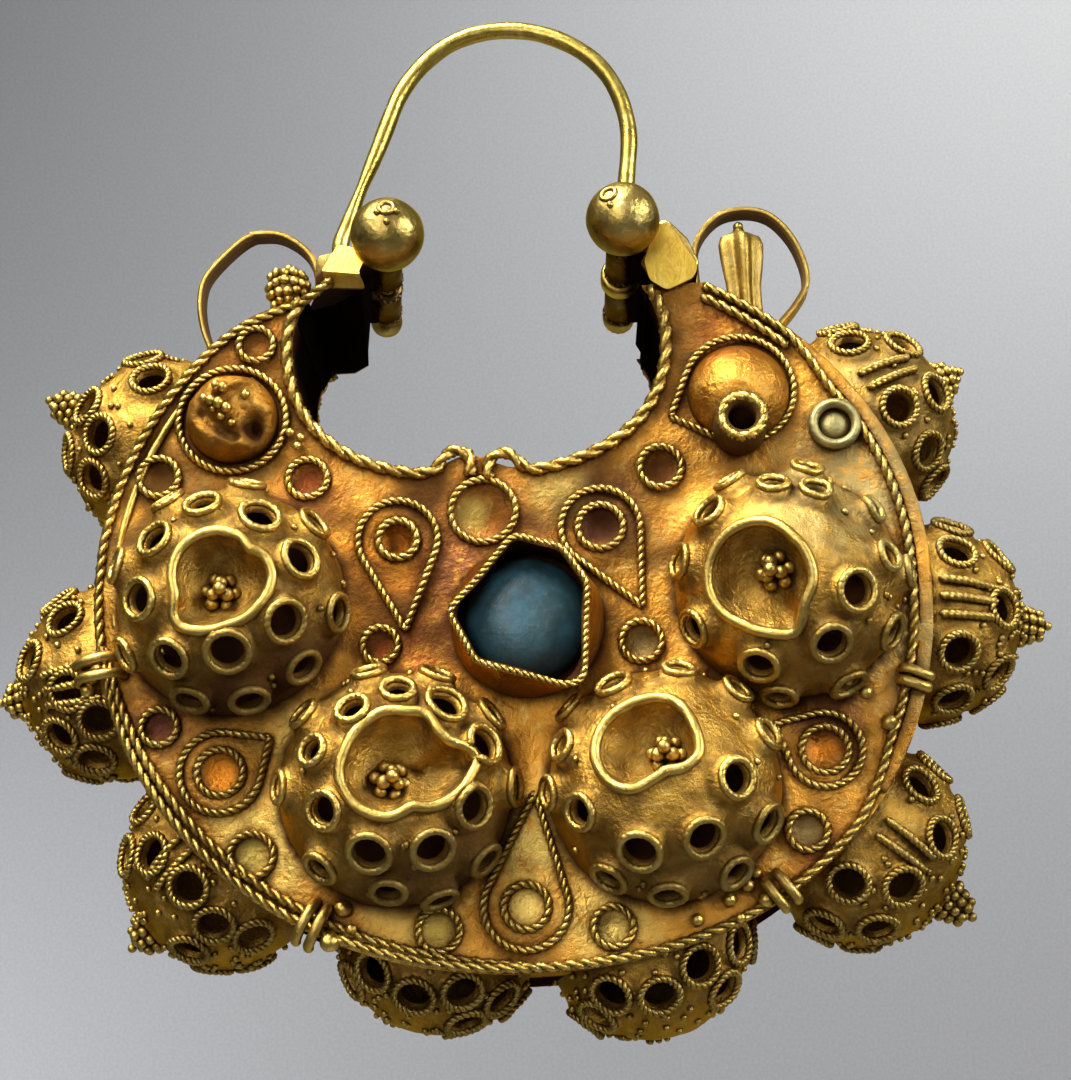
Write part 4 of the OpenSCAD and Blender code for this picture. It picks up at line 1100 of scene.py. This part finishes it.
stone = Form()
stone_r, stone_h, stone_p = 2.75, 2.2, 2 / 2.6
stone_profile = [(stone_r * power(math.cos(t), stone_p), stone_h * power(math.sin(t), stone_p))
                 for t in np.linspace(0, math.pi / 2, 40)[:-1]] + [(0, stone_h)]
lathe(stone, (BEZEL[0], -FACE - 0.03, BEZEL[1]), OUT, [(0, -0.01)] + stone_profile, 72)
stone.build("turquoise_stone", turquoise, "turquoise", stands_for=("turquoise",),
            bend=lambda co: co + (0.05 * wavy(co, 1.6, 8))[:, None])


# Arches of strip on the band and the granule cones inside them
def bow(points):
    """Smooth line through a row of points, without its first and last stretch."""
    p, steps = np.array(points, float), 9
    line = []
    for a, b, c, d in zip(p, p[1:], p[2:], p[3:]):
        t = np.linspace(0, 1, steps, endpoint=False)[:, None]
        square, cube = 2 * a - 5 * b + 4 * c - d, 3 * b - a - 3 * c + d
        line.append((2 * b + (c - a) * t + square * t * t + cube * t ** 3) / 2)
    return at_depth(np.vstack(line + [p[-2:-1]]), 0)


LEFT_ARCH = ((-12.9, 8.5), (-13.9, 12.6), (-14.45, 14.4), (-14.55, 16.0), (-14.1, 17.2), (-12.5, 18.75),
             (-11.3, 19.0), (-10.2, 18.8), (-9.1, 17.9), (-8.65, 16.6), (-8.75, 15.2), (-9.15, 14.2),
             (-9.2, 12))
RIGHT_ARCH = ((9.2, 12), (9.35, 14.5), (9.4, 17.1), (10.4, 18.55), (11.7, 18.95), (13.0, 18.6), (14.0, 17.4),
              (14.5, 16.0), (14.5, 14.9), (13.9, 13.9), (12.8, 12.6), (11.8, 10.5))
arches = Form()
for points in (LEFT_ARCH, RIGHT_ARCH):
    line = resample(bow(points), 0.2, False)[0]
    line[:, 1] += 0.12 * wavy(line, 3.0, 4)
    line[:, 0] += np.where(line[:, 0] < -12, 0.3, 0)
    # The underside of the strip is painted dark, as shade
    sweep(arches, line, (0, 1, 0), box_profile(1.1, 0.34, 0.1),
          deep=lambda p: np.tile([0] * 4 + [0.9] * 4, len(p) // 8))
arches.build("belt_arches", wire_gold, "sheet_gold", sharp=40,
             stands_for=("belt_loop_left", "belt_loop_right"))

cones = Form()
LEFT_POST, RIGHT_POST = (-10.15, 0, -0.3), (11.55, 0, 0)
lathe(cones, LEFT_POST, UP,
      [(0, 13), (0.5, 13), (0.5, 15.2), (0.85, 16.5), (0.85, 16.9), (0.45, 17.3), (0, 17.3)], 24, 0.3)
for h, r, count in ((15.3, 0.5, 8), (15.75, 0.66, 10), (16.2, 0.82, 12), (16.65, 0.9, 13), (17.1, 0.78, 11)):
    for k in range(count):
        a = (k + h) * 2 * math.pi / count
        up = h - 0.3 + rng.uniform(-0.08, 0.08)
        granule(cones, (LEFT_POST[0] + r * math.cos(a), r * math.sin(a), up), 0.24)
for x, y, h in ((-0.5, -0.2, 17.4), (0.1, -0.3, 17.5), (0.0, 0.4, 17.45), (0.55, 0.1, 17.35)):
    granule(cones, (LEFT_POST[0] + x, y, h - 0.35), 0.26)
# Fluted post with a knob on the right
post = Form()
lathe(post, (0, 0, 0), UP,
      [(0, 12), (0.75, 12), (0.72, 14.6), (0.74, 15.2), (0.84, 15.9), (0.92, 16.6), (0.95, 17.2),
       (0.86, 17.6), (0.5, 17.85), (0.3, 17.95), (0.26, 18.1), (0, 18.15)], 60, 0.45)


def fluted(co):
    a = np.arctan2(co[:, 1], co[:, 0])
    grow = 1 + 0.2 * np.cos(5 * a + 0.9) * np.clip((18.0 - co[:, 2]) / 0.5, 0, 1)
    return np.column_stack([co[:, 0] * grow, co[:, 1] * grow, co[:, 2]]) + RIGHT_POST


cones.take(post, fluted)
granule(cones, (RIGHT_POST[0], 0, 18.25), 0.27)
cones.build("arch_posts", wire_gold, "openwork_gold", stands_for=("belt_cone_left", "belt_cone_right"))

# Small loops that cross the front rim, each of two bent wires with a few granules: direction round the rim,
# how far inside it, height, half the distance of the two wires, and half the width they span
RIM_LOOPS = ((190, 0.1, 0.9, 0.36, 0.95), (240.5, 0.4, 0.7, 0.3, 0.9), (304, 0.4, 0.3, 0.32, 0.7),
             (344, 0.6, 0.25, 0.24, 0.6))
loops = Form()
for angle, depth, high, apart, reach in RIM_LOOPS:
    a = math.radians(angle)
    out = np.array((math.cos(a), 0, math.sin(a)))
    along = np.array((-math.sin(a), 0, math.cos(a)))
    edge = outline_point(angle, depth)
    middle = np.array((edge[0], -FACE - 0.25, edge[1]))
    for side in (-apart, apart):
        t = np.linspace(-0.1, math.pi + 0.1, 26)
        path = middle + side * along + np.outer(np.cos(t), out * reach) + np.outer(np.sin(t), OUT * high)
        path += 0.08 * wavy(path, 0.9, int(angle))[:, None] * along
        sweep(loops, path, along, circle(0.23, 9), deep=0.2)
LUMPS = ((-18.0, -3.1, 0.5, 0.3), (-18.45, -3.9, 0.4, 0.3), (-16.8, -1.85, 0.3, 0.27),
         (-15.3, -2.35, 0.3, 0.25), (-7.66, -13.72, 0.35, 0.36), (-8.2, -15.1, 0.6, 0.42),
         (-7.3, -14.6, 0.5, 0.25), (7.1, -14.9, 0.2, 0.28), (7.3, -13.8, 0.25, 0.28),
         (8.5, -14.15, 0.3, 0.33), (9.3, -13.6, 0.3, 0.27), (10.0, -14.2, 0.3, 0.34),
         (8.9, -14.9, 0.3, 0.25), (9.7, -13.1, 0.2, 0.22), (10.6, -13.2, 0.2, 0.25),
         (14.26, -5.16, 0.45, 0.4), (15.8, -7.0, 0.3, 0.35), (14.9, -5.7, 0.5, 0.3))
for x, z, h, r in LUMPS:
    granule(loops, (x, -FACE - h, z), r)
loops.build("rim_loops", wire_gold, "wire_gold",
            stands_for=("rim_loop_1", "rim_loop_2", "rim_loop_3", "rim_loop_4"))

# Caps folded over the horn tips
LEFT_CAP = ((-8.8, 13.73), (-8.4, 14.5), (-8.4, 16.1), (-8.2, 16.3), (-6.05, 16.3), (-5.55, 14.8),
            (-6.2, 14.1), (-7.55, 13.73))
RIGHT_CAP = ((6.5, 14.5), (7.0, 13.53), (8.7, 13.53), (9.15, 14.4), (8.7, 15.6), (7.9, 16.5), (7.2, 15.9))
CAP_Y = 5.35


def cut(solid, cutter):
    """Takes one closed shape out of another."""
    change = solid.modifiers.new("cut", "BOOLEAN")
    change.operation, change.solver, change.object = "DIFFERENCE", "EXACT", cutter
    bpy.context.view_layer.update()
    mesh = bpy.data.meshes.new_from_object(solid.evaluated_get(bpy.context.evaluated_depsgraph_get()))
    solid.modifiers.clear()
    solid.data = mesh
    bpy.data.objects.remove(cutter)


def eased(made, width):
    change = made.modifiers.new("ease", "BEVEL")
    change.width, change.segments, change.limit_method = width / 1000, 2, "ANGLE"
    change.angle_limit = math.radians(25)


def cap_shade(p):
    """The underside of a cap and its side to the throat are painted dark, as shade."""
    dark = np.where(p[:, 2] < 15.5, 1.9, 1.5 * (np.abs(p[:, 0]) < 7.5))
    return dark * (np.abs(p[:, 1]) < CAP_Y - 0.1)


for name, corners in (("left", LEFT_CAP), ("right", RIGHT_CAP)):
    form = Form()
    prism(form, corners, -CAP_Y, CAP_Y, cap_shade)
    if name == "left":
        # The side to the throat leans away towards the back
        side = form.points[0]
        side[:, 0] = np.minimum(side[:, 0], -5.55 - (side[:, 1] + CAP_Y) * math.tan(math.radians(7)))
    cap = form.build("horn_cap_%s_sheet" % name, ball_gold, "polished_gold", sharp=30,
                     stands_for=("horn_cap_" + name,))
    if name == "left":
        form = Form()
        lathe(form, (-7.6, 0, 15.4), UP, [(0, 0), (0.6, 0), (0.6, 3), (0, 3)], 24)
        cut(cap, form.build("socket", ball_gold, "polished_gold"))
        # Its front leans back on the left, over this width
        form, slope_wide = Form(), 1.13
        prism(form, ((-9.5, 12), (-9.5, 18), (-5, 18), (-5, 12)), -6.6, -5.9)
        wedge = form.build("wedge", ball_gold, "polished_gold")
        for v in wedge.data.vertices:
            x = v.co.x * 1000 + OFFSET[0]
            if v.co.y * 1000 > -6.0:
                back = max(0.0, slope_wide * (1 - (x + 8.4) / slope_wide)) if x < -7 else -0.01
                v.co.y = (-CAP_Y + back) / 1000
        cut(cap, wedge)
        co = np.empty(len(cap.data.vertices) * 3)
        cap.data.vertices.foreach_get("co", co)
        shade = cap_shade(co.reshape(-1, 3) * 1000 + OFFSET)
        cap.data.attributes["deep"].data.foreach_set("value", shade)
    eased(cap, 0.09)
# Bent flaps on their fronts: corners, height and slope of the fold, and how far they lean out above and
# below it
FLAPS = ((((-7.9, 14.75), (-7.15, 16.1), (-5.75, 15.65), (-6.25, 14.6), (-5.95, 13.95), (-7.7, 14.1)),
          14.72, -0.14, 0.22, 0.85),
         (((6.65, 14.5), (6.86, 13.59), (7.61, 13.1), (8.82, 13.62), (9.08, 14.15), (8.17, 15.7),
           (7.66, 16.4), (7.4, 16.2)), 15.9, 0.3, 0.5, 0.13))
flaps = Form()
for corners, fold, slope, lean_up, lean_down in FLAPS:
    corners = np.array(corners)
    loop = resample(at_depth(corners, 0), 0.13, True)[0][:, [0, 2]]
    loop = smoothed(loop, 2, True)
    low, high = corners.min(0), corners.max(0)

    def above(xz):
        """Height over the line of the fold."""
        return xz[:, 1] - fold - slope * (xz[:, 0] - corners[0][0])

    fold_x = np.linspace(low[0], high[0], 20)
    grid = np.stack(np.meshgrid(*(np.arange(a, b, 0.12) for a, b in zip(low, high))), -1).reshape(-1, 2)
    grid = np.vstack([grid[np.abs(above(grid)) > 0.06],
                      np.column_stack([fold_x, fold + slope * (fold_x - corners[0][0])])])
    loose = grid[inside(grid, loop.mean(0) + (loop - loop.mean(0)) * 0.94)]

    def bent(xz, sink):
        h = above(xz)
        y = -CAP_Y - 0.45 + np.where(h > 0, lean_up, -lean_down) * h + sink
        return at_depth(xz, np.minimum(y, -CAP_Y + sink))

    def tucked(xz):
        """The lip below a strongly bent fold is painted darker and duller, as shade."""
        return 0.45 * (lean_down > 0.5) * (above(xz) < -0.08)

    shell(flaps, [loop], loose, lambda m: inside(m, loop),
          lambda p: bent(p, 0), lambda p: bent(p, 0.2), tucked)
flaps.build("cap_flaps", cap_gold, "polished_gold", sharp=18)

# Pins with their balls, and the tubes on the caps that hold them
LEFT_PIN, RIGHT_PIN = (-5.4, 16.3), (5.75, 15.95)
LEANS = {LEFT_PIN: (5.0, 4.0), RIGHT_PIN: (0.0, 0.0)}
BALL_AT, BALL_R = -7.0, 1.65


def along_pin(pin):
    """Moves shapes that stand round the y axis to a pin's place and lean."""
    turn, slope = LEANS[pin]
    lean = np.array(Matrix.Rotation(math.radians(turn), 3, "Z")
                    @ Matrix.Rotation(math.radians(slope), 3, "X"))
    return lambda co: co @ lean.T + (pin[0], 0, pin[1])


pins, tubes = Form(), Form()
here = (0.0, 0.0, 0.0)
for pin, lug in ((LEFT_PIN, -1.2), (RIGHT_PIN, 1.75)):
    form = Form()
    lathe(form, (0, BALL_AT, 0), OUT, ball_profile(BALL_R, 1.0, 30), 52)
    sweep(form, ring_path((0, -5.55, 0), OUT, 0.6, 32), OUT, circle(0.22, 8), closed=True)
    # The shafts, and the small ball of the left pin, are painted darker, as shade
    lathe(form, here, -OUT, [(0, -6.9), (0.4, -6.9), (0.4, 5.2), (0, 5.3)], 20, 0.3)
    if pin is LEFT_PIN:
        lathe(form, here, OUT, ball_profile(0.55), 24, 0.5)
        lathe(form, (0, 6.25, 0), OUT, ball_profile(0.8), 32)
    else:
        lathe(form, here, -OUT, [(0, 4.53), (0.7, 4.53), (0.8, 4.7), (0.8, 5.45), (0.7, 5.6), (0, 5.6)], 32)
        rope_ring(form, (0, 5.5, 0), OUT, 0.66, 0.14, 0.55)
    pins.take(form, along_pin(pin))
    form = Form()
    for y0, y1 in ((-4.5, -0.65), (0.65, 4.5)):
        sweep(form, ring_path((0, (y0 + y1) / 2, 0), OUT, 0.57, 32), OUT, box_profile(y1 - y0, 0.3),
              closed=True, deep=0.1)
        for y in (y0 + 0.16, y1 - 0.16):
            rope_ring(form, (0, y, 0), OUT, 0.66, 0.15, 0.55)
        low, high = sorted((0.35 * lug / abs(lug), lug))
        # The lugs are painted black, as shade
        prism(form, ((low, -0.6), (high, -0.6), (high, 0.1), (low, 0.1)), y0, y1, 1.6)
    tubes.take(form, along_pin(pin))
# Little rings of wire soldered on the balls, with granules beside them
for pin, out, spots in ((LEFT_PIN, (0.08, -1, 0.42), ((-0.42, -0.22), (0.42, -0.2), (0.0, -0.75))),
                        (RIGHT_PIN, (-0.45, -1, 0.45), ((0.1, -0.6),))):
    middle = along_pin(pin)(np.array([[0, BALL_AT, 0]]))[0]
    out = unit(np.array(out))
    across = unit(np.cross(out, UP))
    above = np.cross(across, out)
    sweep(pins, ring_path(middle + out * 1.63, out, 0.32, 28), out, circle(0.12, 8), closed=True)
    for u, v in spots:
        granule(pins, middle + 1.68 * unit(out * 1.55 - across * u + above * v), 0.16)
pins.build("pins_and_balls", ball_gold, "polished_gold", stands_for=("hinge_pin", "catch_pin"),
           bend=lambda co: co + (0.035 * wavy(co, 1.1, 12))[:, None])
tubes.build("pin_tubes", tube_gold_shaded, "polished_gold", sharp=50)

# Ear hoop: drawn wire, bent by hand, with an eye round the hinge pin
hoop = Form()
wire_r, hoop_r, elbow_r = 0.425, 5.85, 1.5
# The arc ends leaning by this angle, and an elbow turns the wire straight down to the hole in the left cap
lean, end_x, end_z = 22, -7.6, 15.5
arc = around((0.75, 23.5), hoop_r, np.radians(np.linspace(-8, 180 - lean, 80)))
drop = math.radians(lean)
sideways = arc[-1, 0] - end_x - elbow_r * (1 - math.cos(drop))
elbow = (end_x + elbow_r, arc[-1, 1] - elbow_r * math.sin(drop) - sideways / math.tan(drop))
bend = around(elbow, elbow_r, np.radians(np.linspace(180 - lean, 180, 8)))
line = np.vstack([RIGHT_PIN, arc, bend, (end_x, end_z)])
line = resample(at_depth(line, 0), 0.22, False)[0]
s = np.linspace(0, 1, len(line))[:, None]
wobble = np.sin(math.pi * s)
line[:, [0]] += 0.03 * np.sin(s * 43) * wobble
line[:, [1]] += 0.05 * np.sin(s * 29 + 1) * wobble
# Thinner at the elbow, and slightly uneven all along
thick = 1 - 0.3 * np.exp(-((s - 0.83) / 0.045) ** 2)
profile = circle(wire_r, 16)[None] * np.concatenate([np.ones_like(s), thick], 1)[:, None]
sweep(hoop, line, (0, 1, 0), profile * (0.97 + 0.02 * np.sin(s * 97))[:, None])
sweep(hoop, ring_path((RIGHT_PIN[0], 0, RIGHT_PIN[1]), OUT, 0.69), OUT, box_profile(1.0, 0.5, 0.12),
      closed=True)
hoop.build("ear_hoop_wire", hoop_gold, "hoop_gold", body="hoop", stands_for=("ear_hoop",))


# Floor, backdrop, light and camera
def paper():
    material, net = new_material("pale_paper")
    at = net.make("ShaderNodeTexCoord").outputs["Object"]
    grain = net.noise(at, 900.0, 4)
    colour = net.mix(net.ramp(grain, 0.3, 0.7), (0.63, 0.63, 0.645), (0.69, 0.69, 0.70))
    net.surface({"Base Color": colour, "Roughness": 0.85})
    return material


FLOOR_Z = -0.45
rows = [(-0.9, 0.0), (0.35, 0.0)]
rows += [(0.35 + 0.3 * math.sin(t), 0.3 - 0.3 * math.cos(t)) for t in np.linspace(0.1, math.pi / 2, 14)]
rows += [(0.65, 1.5)]
points = [(x, y, FLOOR_Z + z) for y, z in rows for x in (-1.2, 1.2)]
faces = [(2 * i, 2 * i + 1, 2 * i + 3, 2 * i + 2) for i in range(len(rows) - 1)]
mesh = bpy.data.meshes.new("backdrop")
mesh.from_pydata(points, [], faces)
mesh.shade_smooth()
mesh.materials.append(paper())
backdrop = bpy.data.objects.new("backdrop", mesh)
scene.collection.objects.link(backdrop)

# Room light: dim and warm below, brighter above
world = bpy.data.worlds.new("studio")
scene.world = world
world.use_nodes = True
net = Net(world.node_tree)
sky = world.node_tree.nodes["Background"]
way = net.make("ShaderNodeTexCoord").outputs["Generated"]
height = net.make("ShaderNodeSeparateXYZ", {0: way}).outputs["Z"]
net.put(sky.inputs["Color"], net.mix(net.ramp(height, -0.3, 0.9), (0.020, 0.016, 0.013), (0.50, 0.52, 0.56)))
sky.inputs["Strength"].default_value = 0.55


def lamp(name, at, aim, size, power_w, colour=(1, 1, 1), spread=180):
    data = bpy.data.lights.new(name, "AREA")
    data.energy, data.size, data.color, data.spread = power_w, size, colour, math.radians(spread)
    made = bpy.data.objects.new(name, data)
    made.location = at
    made.rotation_mode = "QUATERNION"
    made.rotation_quaternion = (Vector(aim) - Vector(at)).to_track_quat("-Z", "Y")
    scene.collection.objects.link(made)


AIM = (0, 0, -0.03)
lamp("window", (-0.20, -0.26, 0.36), AIM, 0.30, 0.68, (1.0, 0.98, 0.94), spread=70)
lamp("top", (-0.05, -0.10, 0.27), AIM, 0.08, 0.16, spread=70)
lamp("side", (0.34, -0.20, 0.08), AIM, 0.12, 0.14, (0.94, 0.97, 1.0), spread=60)
lamp("front", (-0.12, -0.44, 0.0), AIM, 0.20, 0.08, (1.0, 0.97, 0.92), spread=60)
lamp("wall", (0.30, 0.30, 0.50), (0.18, 0.65, 0.31), 0.4, 0.91, (1.0, 1.0, 0.98), spread=110)
lamp("low_wall", (-0.34, 0.38, -0.12), (-0.22, 0.65, -0.02), 0.2, 0.20, (0.97, 0.98, 1.0), spread=95)
scene.view_settings.view_transform = "Standard"

PITCH, YAW, ROLL = math.radians(15.0), math.radians(0.5), math.radians(-2.8)
ahead = Vector((-math.sin(YAW) * math.cos(PITCH), math.cos(YAW) * math.cos(PITCH), math.sin(PITCH)))
right = Vector((math.cos(YAW), math.sin(YAW), 0))
above = right.cross(ahead)
right, above = (math.cos(ROLL) * right + math.sin(ROLL) * above,
                -math.sin(ROLL) * right + math.cos(ROLL) * above)
data = bpy.data.cameras.new("camera")
camera = bpy.data.objects.new("camera", data)
scene.collection.objects.link(camera)
camera.matrix_world = Matrix.Translation((0.00118, -0.0954, -0.051265)) @ Matrix(
    (right, above, -ahead)).transposed().to_4x4()
# 2135 pixels of focal length for the 1080 pixels of the long side
data.lens, data.sensor_width = 36 * 2135 / 1080, 36
data.clip_start, data.clip_end = 0.005, 10
scene.camera = camera
